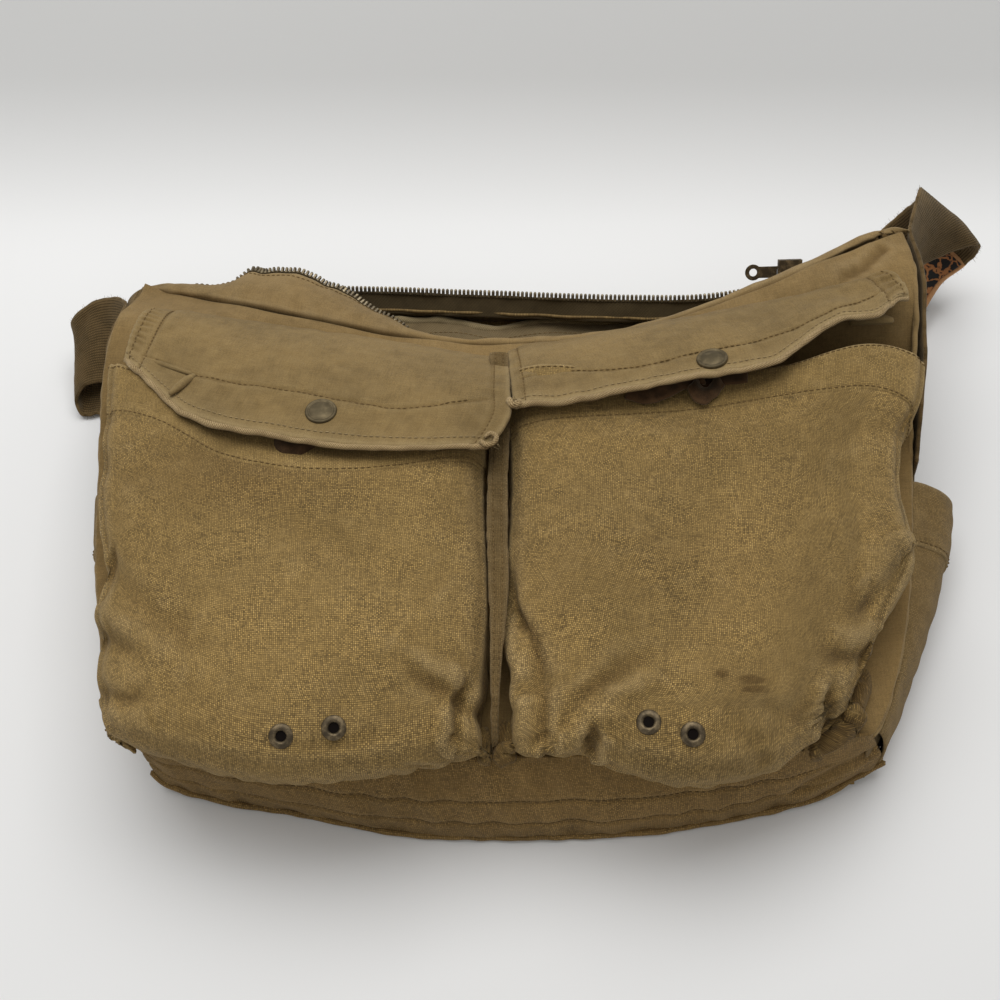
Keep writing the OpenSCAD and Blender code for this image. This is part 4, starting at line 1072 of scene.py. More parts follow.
FLAP_INNER = {
    LEFT: [(-4.6, -7.2, 94.5), (0, -.3, 94), (3.8, 8.6, 92), (3.9, 26.1, 86), (3.5, 49.7, 74),
           (2.6, 77, 59)],
    RIGHT: [(6.6, 17.8, 93), (6.3, 32.5, 87), (5.6, 56.4, 75), (4.2, 81.8, 60)]}
FLAP_OUTER = {
    LEFT: [(-185.5, 54, 87.5), (-184.6, 76.2, 80.5), (-184.7, 94.3, 74), (-184.5, 100.3, 72)],
    RIGHT: [(204.4, 82.2, 101), (203.2, 91, 100.5), (200.1, 100, 99), (197.1, 102.5, 98)]}
FLAP_STITCH = {
    LEFT: [(-177.5, 56.4, 85), (-164.5, 47.7, 88), (-151.2, 38.7, 91), (-124.3, 29.9, 94),
           (-94.9, 23.5, 95), (-73.1, 18.4, 95), (-47, 14, 95), (-23.6, 17.4, 94), (-6, 21, 93)],
    RIGHT: [(11, 41.9, 84), (29.1, 39.4, 92), (48.2, 38.3, 94), (67.4, 39, 96), (96.3, 44.5, 100),
            (125.3, 49.5, 103), (145.6, 57.9, 104), (164.4, 69.4, 104), (180.3, 75.6, 104),
            (191.4, 83.6, 103)]}
FLAP_T = 2.6   # thickness of a flap
BEND = 18      # how much of a flap's cloth takes up its turn
SNAP_AT = {LEFT: (-83.9, 9.3, 97), RIGHT: (100.4, 37.1, 103)}


def flap_surface(side, n=190, m=96):
    """A flap, rows from its free edge to its seam."""
    first, last = (FLAP_OUTER, FLAP_INNER)[::-side]
    p = coons(FLAP_EDGE[side], FLAP_SEAM[side], first[side], last[side], n, m)
    q = np.linspace(0, 1, n)[None, :]
    v = np.linspace(0, 1, m)[:, None]
    if side == LEFT:
        rise = 8.5 * np.sin(math.pi * (1 - v) ** 0.8) * (0.75 + 0.25 * np.sin(math.pi * q))
    else:
        rise = 4.5 * np.sin(math.pi * (1 - v) ** 0.9) * (0.5 + 0.5 * np.sin(math.pi * q))
        rise -= 3.0 * bell(v - 0.55, 0.25) * smooth(0.35, 0.8, q)
    return raised(p, rise)


def edge_puckers(p, side):
    """Gathers where the border of a flap is stitched down."""
    flat = metric(p)
    from_edge = flat[..., 1] - flat[:1, :, 1]
    u, v = flat[..., 0], flat[..., 1]
    from_start, from_end = u - u[:, :1], u[:, -1:] - u
    lift = 0.34 * waves(pair(u, from_edge * 0.18), 8.5, 71 + side) * bell(from_edge - 9, 11)
    if side == LEFT:
        ridge = np.sin(2 * math.pi * (v + 0.22 * from_start) / 4.9 + 1.3 * waves(pair(v, u), 16, 75))
        lift += 0.5 * ridge * bell(from_start - 5, 4.5)
        lift += 0.35 * waves(pair(v, from_end * 0.3), 6.5, 77) * bell(from_end - 6, 6)
        lift -= 0.9 * bell(from_start - 13.5, 1.0) + 0.6 * bell(from_end - 8, 0.9)
    else:
        ridge = np.sin(2 * math.pi * (v + 0.2 * from_end) / 5.4 + 1.4 * waves(pair(v, u), 15, 76))
        lift += 0.6 * ridge * bell(from_end - 6, 6)
        lift += 0.35 * waves(pair(v, from_start * 0.3), 6.5, 78) * bell(from_start - 3, 4)
        lift -= 0.7 * bell(from_end - 12.5, 1.0) + 0.6 * bell(from_start - 5, 0.9)
    lift += 0.3 * waves(pair(u, (v - v[-1:]) * 0.25), 13, 79 + side) * bell(v - v[-1:], 12)
    return raised(p, lift)


def edge_roll(name, edge, material, body="bag", replaces=(), radius=1.5):
    """A worn roll of cloth along an edge."""
    line = even(edge, max(20, int(lengths(dense(edge))[-1] / 1.6)))
    wobble = np.stack([waves(line, 9, 5 + i) for i in range(3)], 1) * 0.35
    size = radius * (1 + 0.16 * waves(line, 7, 9))
    return tube(name, line + wobble, size, material, body, replaces, sides=14, wear=0.2)


SNAP_CAP = [(7.2, -0.9), (7.45, -0.2), (7.3, 0.5), (6.8, 0.85), (6.2, 0.75), (5.7, 0.5), (5.0, 0.75),
            (3.6, 1.15), (1.8, 1.4), (0.01, 1.45)]
SNAP_SOCKET = [(5.6, 0), (5.6, -0.6), (4.6, -1.1), (4.2, -2.1), (3.2, -2.3), (2.7, -1.4), (2.6, 0)]
SNAP_STUD = [(4.8, 0), (4.9, 0.5), (2.3, 0.7), (1.9, 1.2), (2.3, 1.7), (1.6, 2.1), (0.01, 2.15)]


def flap(side):
    """A flap with its piping, stitches and snap."""
    name, body = SIDES[side], BODY_OF_FLAP[side]
    p = flap_surface(side)
    p = settle(p, inside_mask(p, 6) * 0.9, extra=0.006, rounds=60, seed=15 + side, start=0.5, size=24,
               keep=0.02)
    p = edge_puckers(p, side)
    p = raised(p, 0.1 * waves(p, 5, 90 + side))
    line = onto(p, FLAP_STITCH[side], 4)
    p = raised(p, -0.75 * bell(along_line(p, metric(p), line[::2])[0], 1.1))
    rows = metric(p)[..., 1]
    # the cloth gets darker towards its seam, painted shade in the crease under the facing; the free edge gets
    # real wear
    piece = cloth(f"flap_{name}_cloth", p, FLAP_T, duck_soft, [f"flap_{name}"], body=None,
                  wear=0.16 + 0.3 * bell(rows - rows[:1], 8), dirt=0.35 * bell(rows[-1:] - rows, 9),
                  edge_wear=(0.5, 0.1, 0.35, 0.45))
    n = normals(p)
    roll = p[0] - n[0] * (FLAP_T / 2 - 0.3) + unit(p[0] - p[2]) * 1.5
    pipe = edge_roll(f"flap_{name}_piping_roll", roll, piping_cloth, body,
                     [f"flap_{name}_piping"], 1.45)
    k = [seen(p, q)[0] for q in line[2:-2]]
    stitches[body].row(np.array([p[at] for at in k]), np.array([n[at] for at in k]))
    light_stitches[body].on(p, row=0.045, width=0.3)
    for place in (0.072, 0.965, 0.02) if side == LEFT else (0.935, 0.027, 0.985):
        stitches[body].on(p, column=place, length=1.8, pitch=2.6)
    at = seen(p, SNAP_AT[side])[0]
    axis = unit(normals(soften(p, 10))[at])
    lathe(f"snap_{name}_cap", SNAP_CAP, [(p[at] + axis * 0.3, axis)], cap_metal, body,
          [f"snap_cap_{name}"], 64)
    lathe(f"snap_{name}_socket", SNAP_SOCKET, [(p[at] - axis * (FLAP_T + 0.05), axis)], brass, body,
          [f"snap_socket_{name}"], 48)
    bend_at_seam(piece, side)
    if side == RIGHT:
        under = p[-1] - n[-1] * (FLAP_T + 0.8) + unit(p[-4] - p[-1]) * 2.0
        edge_roll("front_panel_seam_roll", under, duck_facing)


def bend_at_seam(piece, side):
    """Works out where a flap's cloth would turn out of its seam, which stays sewn down, but makes no turn; it
    only bakes the piece's transform into its mesh.
    """
    seam = np.array(FLAP_SEAM[side], float)
    c = unit(seam[-1] - seam[0])
    f = np.mean(FLAP_EDGE[side], axis=0) - seam.mean(0)
    d = unit(f - c * (f @ c))
    start = seam[0] + d * (np.max((seam - seam[0]) @ d) + 1)
    tuple(start * MM)
    tuple((start + d * BEND) * MM)
    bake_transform(piece)


flap(LEFT)
flap(RIGHT)


def stud(side, p, place):
    """Snap stud on a leather patch, on the pocket's hem under the flap."""
    name = SIDES[side]
    i, j = seen(p, place)[0]
    n = normals(soften(p, 10))
    width, height, stand = (32, 20, 2.8) if side == LEFT else (34, 20, 2.0)
    flat = metric(p) - metric(p)[i, j]
    rows = np.where(np.abs(flat[:, j, 1]) < height / 2)[0]
    columns = np.where(np.abs(flat[i, :, 0]) < width / 2)[0]
    part = np.s_[rows[0]:rows[-1] + 1, columns[0]:columns[-1] + 1]
    sheet = p[part] + n[part] * (stand + 0.5 * waves(p[part], 12, 6))[..., None]
    cloth(f"snap_{name}_patch", sheet, 1.3, patch, [f"snap_patch_{name}"],
          edge_wear=(0.6, 0.6, 0.6, 0.6))
    lathe(f"snap_{name}_stud", SNAP_STUD, [(p[i, j] + n[i, j] * (stand - 0.1), n[i, j])], brass,
          replaces=[f"snap_stud_{name}"])


for side in (LEFT, RIGHT):
    stud(side, pockets[side], SNAP_AT[side])


def leather_tabs():
    """Soft leather ends of the snap patches, curled out from under the flaps."""
    right = [[(60, 24.5, 90), (63, 22.7, 90.5), (72, 20.5, 91), (81, 23.7, 92), (91, 29, 93), (99, 31, 93)],
             [(62, 30, 92), (66, 29, 93), (74, 27, 94), (82, 29, 95), (90, 33, 95), (98, 35, 95)],
             [(62, 38, 91), (67, 37, 92), (75, 36, 93), (83, 37, 94), (91, 39, 94), (99, 41, 94)]]
    curl = [[(92, 33, 92), (90, 26, 94.5), (92.8, 20.6, 92.5), (97.4, 18.6, 92), (102.8, 22.2, 93),
             (108, 30, 93)],
            [(94, 35, 93), (93, 29, 96.5), (95, 24.2, 95.5), (98.4, 22.6, 95), (102, 25.5, 95.5),
             (106, 33, 94)],
            [(97, 38, 92), (96, 33, 93.5), (97, 29, 93.5), (99, 27.5, 93.5), (101, 29.5, 93.5),
             (104, 36, 93)]]
    left = [[(-107, 4, 89), (-105.5, -7, 89.5), (-102.3, -13.5, 89), (-97, -16, 88.5), (-91.9, -15, 88.5),
             (-85, -6.5, 89)],
            [(-103, 4, 92), (-101.5, -3, 94), (-99.5, -7, 94), (-96, -8.6, 94), (-92.5, -8.6, 94),
             (-89, -5, 93.5)],
            [(-100, 7, 91), (-99, 2, 92), (-98, -1, 92.5), (-96, -2, 92.5), (-94, -2, 92.5), (-92, 1, 92)]]
    for name, rows in (("right_band", right), ("right_curl", curl), ("left_curl", left)):
        p = facing_way(loft(rows, 40, 16), (0, 0, 1))
        p = raised(p, 0.5 * waves(p, 5, 12)) + (0, 1.5, -2.0)
        cloth(f"patch_{name}", p, 1.3, patch, edge_wear=(0.7, 0.7, 0.6, 0.6))


leather_tabs()


# ---------- front panel, facing, mouth ----------
LIP = [(-201, 141, 47), (-196, 142, 48.5), (-189, 143, 50), (-180, 142.5, 51), (-170, 141.5, 51),
       (-160, 141.5, 50), (-150, 147, 48.5), (-140, 150.5, 52), (-134, 147.5, 54), (-120, 145.9, 56),
       (-111, 143.5, 56), (-100, 139.3, 54.5), (-86, 132.7, 52.5), (-74, 125.3, 50), (-61, 118.5, 46.5),
       (-49, 111.3, 44.5), (-33, 105, 42.5), (-11, 104, 39.5), (3, 106, 37.5), (22, 108.9, 37.5),
       (50, 109, 38.5), (80, 112, 41), (120, 122, 47), (138, 129, 51), (155, 139, 53), (170, 146, 56),
       (185, 147.5, 68), (200, 146, 83), (211, 143, 91), (218, 140, 93)]


def front_panel():
    """The front between the pockets and the mouth."""
    s, t = grid(np.linspace(-1, 1, 240), np.linspace(0, 1, 130))
    x, y = panel_xy(s, t)
    p = np.stack([x, y, front_z(x, y)], 2)
    swell = 3.0 * np.sin(math.pi * np.clip((t - 0.7) / 0.3, 0, 1)) * (1 - s**4)
    p = raised(p, swell + 0.9 * waves(p, 26, 14) * smooth(0.6, 0.8, t))
    p[..., 2] -= 13 * smooth(50, 110, x) * bell(y - 56, 20)
    p[..., 0] += 6.6 * smooth(60, 140, y) * smooth(-120, -205, x)
    p[..., 2] -= 5 * smooth(90, 140, y) * smooth(-120, -200, x)
    p = crease(p, [(206, 133, 90), (191, 119, 86), (172, 106, 82)], 3.0, 3.5, lip=0.8, ends=(0.1, 0.4))
    # painted shade: the front is darkened in the pocket opening under the right flap
    cloth("front_panel_cloth", p, 1.6, duck_facing, ["front_panel"],
          dirt=0.8 * smooth(40, 100, x) * bell(y - 54, 24))


def facing():
    """The band between the top seam and the front lip of the mouth, with a deep crease at its seam."""
    n, m = 300, 40
    lip = even(LIP, n)
    x = mix(np.linspace(-200, 215, n), lip[:, 0], 0.5)
    seam = np.stack([x, seam_y(x), front_z(x, seam_y(x)) - 0.5 - 5 * smooth(-150, -198, x)], 1)
    v = np.linspace(0, 1, m)[:, None, None]
    p = mix(seam[None], lip[None], v)
    room = np.linalg.norm(lip - seam, axis=1)
    v2 = v[..., 0]
    rise = np.minimum(room * 0.2, 4.2) * np.sin(math.pi * v2**0.75) ** 0.8
    p = raised(p, rise)
    p = raised(p, -2.4 * bell(v2 * room, 1.6) * smooth(215, 180, np.abs(x)))
    p = settle(p, inside_mask(p, 4), extra=0.012, rounds=60, seed=33, start=0.7, size=17, keep=0.015)
    flat = metric(p)
    u, w = flat[..., 0], flat[..., 1]
    lift = 0.55 * waves(pair(u, (w - w[-1:]) * 0.2), 9, 81) * bell(w - w[-1:], 9)
    lift += 0.5 * waves(pair(u, (w - w[:1]) * 0.2), 8, 82) * bell(w - w[:1] - 4, 6)
    p = raised(p, lift)
    p = crease(p, [(208, 138, 90), (197, 130.5, 84), (185, 124, 77), (169, 113, 70)], 3.6, 3.6, lip=0.5,
               ends=(0.1, 0.5))
    p = crease(p, [(210, 134, 91), (210, 119, 89), (206, 106, 86)], 3.0, 2.6, lip=0.6, ends=(0.1, 0.2))
    # painted shade: a dark line along the seam crease
    cloth("front_zip_facing_cloth", p, 1.8, duck_facing, ["front_zip_facing"],
          wear=0.15, dirt=0.6 * bell(w - w[:1], 2.0), edge_wear=(0, 0.6, 0, 0))
    sew(p[:, 20:-24], row=0.87, width=0.28)
    return p


TOOTH_PITCH, CORD_R = 2.4, 0.75
ROW_POINTS = 260    # points on a line that carries teeth
TOOTH = [(-0.5, -0.65), (0.5, -0.65), (0.72, -0.2), (0.72, 0.35), (0.45, 0.75), (-0.45, 0.75),
         (-0.72, 0.35), (-0.72, -0.2)]
TOOTH_LEVELS = [(-0.12, 0.9), (0.05, 1.0), (0.72, 1.0), (0.9, 0.86), (1.0, 0.55)]   # height, size there


def teeth(name, line, up, length, replaces):
    """A row of small cast teeth with rounded heads, at a steady pitch."""
    k = lengths(line)
    verts, faces = [], []
    for i in range(int(k[-1] / TOOTH_PITCH)):
        at = at_length((i + 0.5) * TOOTH_PITCH, k, line)
        t = unit(at_length((i + 0.9) * TOOTH_PITCH, k, line) - at)
        u = at_length((i + 0.5) * TOOTH_PITCH, k, up)
        u = unit(u - t * (u @ t))
        w = np.cross(t, u)
        faces += ring_faces(len(verts), len(TOOTH_LEVELS), len(TOOTH), caps=True)
        for h, size in TOOTH_LEVELS:
            for a, b in TOOTH:
                verts.append(at + u * h * length + t * a * size * 1.15 + w * b * size * 1.6)
    new_object(name, np.array(verts), faces, tooth_metal, replaces=replaces,
               smooth_shade=False)


ZIP_BACK = [(-150, 162, 26), (-120, 157.5, 31), (-92.8, 154.9, 34), (-57.7, 152, 36), (-28.7, 148.8, 37.5),
            (0, 146.5, 38.5), (34.2, 143, 40), (79, 138.5, 43), (112.3, 136, 46), (140, 139, 48.5),
            (158, 145, 50), (170, 149, 50.5)]


def zip_front(lip, before):
    """Tape, cord and teeth along the lip of the front facing; before is a line a little inside it."""
    keep = (lip[:, 0] > ZIP_BACK[0][0]) & (lip[:, 0] < 172)
    line = lip[keep]
    inward = unit(line - before[keep])
    rows = np.stack([line - inward * 4 - (0, 0, 2.4), line + inward * 0.6 - (0, 0, 0.7),
                     line + inward * 2.4 + (0, 0, 0.1)])
    cloth("zip_tape_front_strip", facing_way(loft(rows, 220, 10), (0, 0, 1)), 0.8, tape_cloth,
          ["zip_tape_front"])
    tube("zip_cord_front", rows[-1], CORD_R, tape_cloth, sides=8)
    up = even(inward * 0.8 + np.array([0.0, 0.1, 0.55]), ROW_POINTS, curve=False)
    row = even(rows[-1] - (0, 0, 0.2), ROW_POINTS, curve=False)
    teeth("zip_teeth_front_row", row, up, 3.2, ["zip_teeth_front"])


def zip_back():
    """Teeth, cord, tape and stops of the back row, and the facing behind it."""
    back = even(ZIP_BACK, ROW_POINTS)
    lean = unit(np.array([0.0, 0.5, 0.85]))
    teeth("zip_teeth_back_row", back - lean * 1.2, np.broadcast_to(lean, back.shape), 3.5, ["zip_teeth_back"])
    tube("zip_cord_back", back - lean * 1.4, CORD_R, tape_cloth, sides=8)
    for name, replaces, points in (
            ("left", ["zip_stops"], [(-151.6, 162.6, 25.2), (-150.4, 163.6, 27.0), (-150.0, 164.2, 28.2)]),
            ("right", (), [(171, 149.4, 50.2), (171.6, 150.4, 51.4), (172, 151.2, 52.4)])):
        tube(f"zip_stop_{name}_piece", points, [1.2, 1.5, 1.2], brass, replaces=replaces)
    low = back - lean * 12.5 - (0, 1.0, 0)
    strip = mix(low[None], (back - lean * 1.0)[None], np.linspace(0, 1, 16)[:, None, None])
    strip = strip + np.array([0, -1, 0.4]) * (0.5 * waves(strip, 14, 55))[..., None]
    cloth("zip_tape_back_strip", facing_way(strip, (0, -1, 0.3)), 0.8, tape_cloth, ["zip_tape_back"])
    top = np.vstack([[(-194, 156, 14), (-172, 155, 19)], even(low, 12) + (0, 0.4, 1.5),
                     [(186, 150.5, 44), (203, 147, 60)]])
    foot = [(x, 150.4, 13.2) for x in np.linspace(-195, 204, 12)]
    wall = coons(top, foot, [top[0], foot[0]], [top[-1], foot[-1]], 220, 20)
    wall = wall + np.array([0, -1, 0.3]) * (0.9 * waves(wall, 18, 56))[..., None]
    cloth("back_zip_facing_cloth", facing_way(wall, (0, -1, 0.3)), 1.5, duck_side, ["back_zip_facing"],
          edge_wear=(0.3, 0.3, 0, 0))


front_panel()
front_facing = facing()
zip_front(front_facing[-1], front_facing[-8])
zip_back()


def inner_pocket():
    """Slip pocket on the back panel, with a rolled hem that shows in the mouth."""
    s, t = grid(np.linspace(-1, 1, 150), np.linspace(0, 1, 100))
    mouth = [(-128, 141, 19), (-90, 143.5, 20.5), (-52.6, 144.5, 21), (-23.3, 142.9, 21), (-4.1, 138.5, 21),
             (11.7, 142.1, 21), (58.5, 144, 21.5), (100, 145, 22), (132, 144, 21)]
    rim = even(mouth, 150)
    x = mix(s * 126, rim[None, :, 0], t)
    y = mix(-30, rim[None, :, 1], t)
    depth = 6.5 * smooth(0, 0.14, t) * (1 - np.abs(s) ** 6)
    z = mix(back_z(y) + 2.4 + depth, rim[None, :, 2], smooth(0.9, 1, t))
    p = np.stack([x, y, z], 2)
    p = raised(p, 0.9 * waves(p, 24, 61) * (1 - s**8))
    piece = cloth("inner_pocket_cloth", p, 1.2, inner_twill, ["inner_pocket"])
    roll = edge_roll("inner_pocket_hem_roll", p[-1] + (0, -1.6, -0.6), hem_twill, radius=2.4)
    sew(p, row=0.93, width=0.25)


inner_pocket()


# ---------- back, bottom and sides ----------
def back_panel():
    """The face the bag lies on, stitched along all its edges."""
    v = np.linspace(0, 1, 150)[:, None]
    u = np.linspace(-1, 1, 190)[None, :]
    y = mix(base_y(np.clip(u, -0.97, 0.97)), 150, v)
    left, right = back_side_x(LEFT, np.clip(y, -131, 140)), back_side_x(RIGHT, np.clip(y, -131, 140))
    corner = smooth(0, 0.1, v)
    left, right = mix(base_x(-0.98), left, corner), mix(base_x(0.98), right, corner)
    x = mix(left + 1.8, right - 1.8, (u + 1) / 2)
    z = back_z(y) + 0.1 + 0.55 * np.clip(waves(pair(x, y), 34, 91) + 0.35, 0, 2)
    p = np.stack([x, y, z], 2)
    cloth("back_panel_cloth", p, 1.6, duck_base, ["back_panel"])
    low = p - (0, 0, 1.6)
    for place in ({"row": 0.965}, {"row": 0.035}, {"column": 0.02}, {"column": 0.98}):
        sew(low, under=True, **place)


def bottom_panel():
    """The bag's underside, with two lines of stitches and a rolled lower edge."""
    n, m = 260, 56
    base = [(-158, -131, 10), (-154, -134, 6), (-146, -137, 4), (-128, -141.5, 3), (-94.3, -147, 2),
            (-60, -154, 2), (-31, -158, 2), (-12, -159, 2), (21, -158.6, 2), (66, -156, 2),
            (112, -148.5, 2), (143.4, -140.8, 3), (164.2, -131.3, 6), (176, -125.5, 9)]
    s = np.linspace(-1, 1, n)
    x, y = panel_xy(s, np.zeros(n))
    top = np.stack([x, y - 1, np.full(n, 52.0)], 1)
    v = np.linspace(0, 1, m)[:, None]
    p = mix(even(base, n)[None], top[None], v[..., None])
    swell = 7.5 * np.sin(math.pi * v**0.8) * (1 - np.abs(s[None]) ** 4)
    p = p + np.array([0, -0.55, 0.3]) * swell[..., None]
    p = settle(p, inside_mask(p, 4), extra=0.01, rounds=60, seed=44, start=0.8, size=26, keep=0.015)
    flat = metric(p)
    u, w = flat[..., 0], flat[..., 1]
    lift = 0.7 * waves(pair(u, w * 0.5), 12, 83)
    lift += 0.6 * waves(pair(u, (w - w[:1]) * 0.2), 7, 84) * bell(w - w[:1], 8)
    p = raised(p, lift * inside_mask(p, 3))
    for place in (0.24, 0.52):
        p = raised(p, -0.9 * bell((v - place) * 50, 1.2))
    p = crease(p, [(120, -152, 20), (150, -136, 22), (168, -128, 26)], 2.0, 4, lip=1.2, ends=(0.4, 0.0))
    p[..., 2] = np.maximum(p[..., 2], 1.8)
    # darker along the lower edge, by the floor
    cloth("bottom_panel_cloth", p, 1.8, duck_base, ["bottom_panel"],
          dirt=0.35 * bell(w - w[:1], 9), edge_wear=(0.35, 0.1, 0.1, 0.1))
    sew(p[:, 30:-30], row=0.24)
    sew(p[:, 24:-24], row=0.52)
    edge_roll("bottom_corner_roll", even(p[0], 120, curve=False) + (0, -0.6, 0.2), duck_base)


def gusset(side):
    """A side wall, with stitches and a rolled seam where it meets the front."""
    name = SIDES[side]
    n, m = 170, 60
    foot, top = BASE_Y + 1, TOP_Y + 1
    y = mix(foot, top, np.linspace(0, 1, n))
    v = np.linspace(0, 1, m)[:, None]
    p = facing_way(np.stack([wall_point(side, y, np.full(n, q)) for q in v[:, 0]]), (side, 0, 0))
    q = (p[..., 1] - foot) / (top - foot)
    most = 1.6 + 15 * smooth(0.86, 0.99, q) if side == LEFT else 2.0
    swell = most * np.sin(math.pi * v) ** 0.7 * smooth(0, 0.1, q)
    if side == LEFT:
        p[..., 0] += 6.6 * smooth(60, 140, p[..., 1]) * v
        p[..., 2] -= 5 * smooth(90, 140, p[..., 1]) * v
    p[..., 0] += side * swell
    p = settle(p, inside_mask(p, 4), extra=0.014, rounds=60, seed=50 + side, start=0.9, size=22, keep=0.02)
    p = raised(p, 0.5 * waves(p, 8, 87 + side) * inside_mask(p, 3))
    p[..., 2] = np.maximum(p[..., 2], 1.9)
    # the side wall takes the shaded canvas: painted shade
    cloth(f"gusset_{name}_cloth", p, 1.6, duck_shaded, [f"gusset_{name}"], edge_wear=(0.3, 0.4, 0.2, 0.2))
    sew(p, row=0.94)
    sew(p, row=0.05)
    edge_roll(f"gusset_{name}_seam", (p[-1] + (0, 0, 0.4))[::2], duck_facing, radius=1.35)


back_panel()
bottom_panel()
gusset(LEFT)
gusset(RIGHT)


def side_pocket(side):
    """Slack pocket on a gusset, with a wide hem at its mouth."""
    name = SIDES[side]
    low = -127.0
    mouth, bulge, tilted = (2.0, 9, 0.0) if side == LEFT else (8.0, 22, 3.0)
    n, m = 130, 60
    y = np.linspace(low, mouth, n)
    q = (y - low) / (mouth - low)
    out = bulge * (0.18 + 0.82 * smooth(0, 1, q))
    rows = []
    for t in np.linspace(0, 1, m):
        stand = 1.6 + out * np.sin(math.pi * t) ** (2 / 3)
        tilt = tilted * (1 - t) * smooth(0.5, 1, q)
        rows.append(wall_point(side, y - tilt, np.full(n, mix(0.06, 0.9, t)), stand))
    p = facing_way(np.stack(rows), (side, 0, 0))
    turned = p[0, 0, 1] > p[0, -1, 1]
    p = settle(p, inside_mask(p, 4), extra=0.012, rounds=70, seed=63 + side, start=0.9, size=22, keep=0.015)
    p = raised(p, 0.45 * waves(p, 9, 64 + side) * inside_mask(p, 3))
    cut = int(0.73 * n)
    hem = (p + normals(p) * 0.8)[:, :n - cut] if turned else (p + normals(p) * 0.8)[:, cut:]
    below = p[:, n - cut - 3:] if turned else p[:, :cut + 3]
    cloth(f"side_pocket_{name}_cloth", below, 1.4, duck_side, [f"side_pocket_{name}"],
          edge_wear=(0.2, 0.3, 0, 0))
    cloth(f"side_pocket_{name}_hem_band", hem, 2.2, duck_side, [f"side_pocket_{name}_hem"],
          edge_wear=(0.3, 0.3, 0.5, 0.5))
    sew(hem, column=0.94 if turned else 0.06)


side_pocket(LEFT)
side_pocket(RIGHT)


# ---------- strap ----------
WEB_W, WEB_T = 48.0, 1.9              # width and thickness of the webbing
RUN_Y = 112                           # its middle where it lies folded under the bag
Z_LOW, Z_MID, Z_TOP = 1.2, 3.5, 6.2   # heights of its three runs there
RIGHT_LOOP = [
    [(231, 153, 69), (-0.38, -0.28, 0.88)], [(243, 166, 70.5), (-0.62, -0.03, 0.79)],
    [(256, 179, 69), (-0.73, 0.3, 0.57)], [(263, 189, 56), (-0.75, 0.35, 0.55)],
    [(261, 197, 38), (-0.72, 0.5, 0.4)], [(252, 198, 22), (-0.76, 0.6, 0.2)],
    [(238, 185, 9.5), (-0.78, 0.62, 0)], [(222, 164, Z_TOP), (-0.75, 0.66, 0)],
    [(208, 143, Z_TOP), (-0.6, 0.8, 0)], [(196, 127, Z_TOP), (-0.4, 0.92, 0)],
    [(182, 117, Z_TOP), (-0.2, 0.98, 0)], [(160, RUN_Y, Z_TOP), (0, 1, 0)],
    [(10, RUN_Y, Z_TOP), (0, 1, 0)]]
LEFT_LOOP = [
    [(-206, RUN_Y, Z_LOW), (0, 1, 0)], [(-228, RUN_Y, 3), (0, 1, 0)], [(-239, 110, 9), (-0.1, 0.97, 0.23)],
    [(-241.5, 114, 18), (-0.14, 0.93, 0.38)], [(-235, 121, 23), (0, 0.89, 0.45)],
    [(-222, 123, 25.5), (0, 0.85, 0.52)], [(-211, 118, 28), (0, 0.75, 0.66)]]


def sewn(side, y):
    """A point of the webbing where it is sewn to a side, and its width direction."""
    low, high = wall_point(side, y, 0.0), wall_point(side, y, 1.0)
    t, out = 0.45, 1.5
    if side == RIGHT:
        t, out = 0.6 + 0.12 * smooth(60, 140, y), 1.5 + smooth(100, 140, y) + 2.2
    return [tuple(wall_point(side, y, t, out)), tuple(high - low)]


def turn(x, z0, z1, way):
    """A half circle at the end of a run, from one height to the next."""
    out, angles = way * abs(z1 - z0) / 2, np.linspace(0, math.pi, 7)
    return [[(x + math.sin(a) * out, RUN_Y, mix(z0, z1, (1 - math.cos(a)) / 2)), (0, 1, 0)] for a in angles]


def steady(points, gap=24.0):
    """The same points, with more of them put in where they lie far apart."""
    out = []
    for a, b in zip(points[:-1], points[1:]):
        count = max(1, int(np.linalg.norm(b[:3] - a[:3]) / gap))
        out += [mix(a, b, i / count) for i in range(count)]
    return np.array(out + [points[-1]])


def strap_path():
    """Middle of the webbing and its width direction, from its right end to its left end."""
    ys = [14, 30, 48, 66, 84, 102, 120, 138]
    runs = [[sewn(RIGHT, y) for y in ys] + RIGHT_LOOP[:-1], [RIGHT_LOOP[-1]], turn(-150, Z_TOP, Z_MID, -1),
            turn(196, Z_MID, Z_LOW, 1), LEFT_LOOP, [sewn(LEFT, y) for y in reversed(ys) if y < 100]]
    points = [point for run in runs for point in run]
    mid = np.array([p for p, _ in points], float)
    wide = unit(np.array([w for _, w in points], float))
    both = dense(steady(np.hstack([mid, wide * 10])), 10)
    k = lengths(both[:, :3])
    q = np.linspace(0, k[-1], int(k[-1] / 1.5))
    both = np.stack([np.interp(q, k, both[:, a]) for a in range(6)], 1)
    mid = both[:, :3]
    along = unit(np.gradient(mid, axis=0))
    return mid, unit(both[:, 3:]), along, q


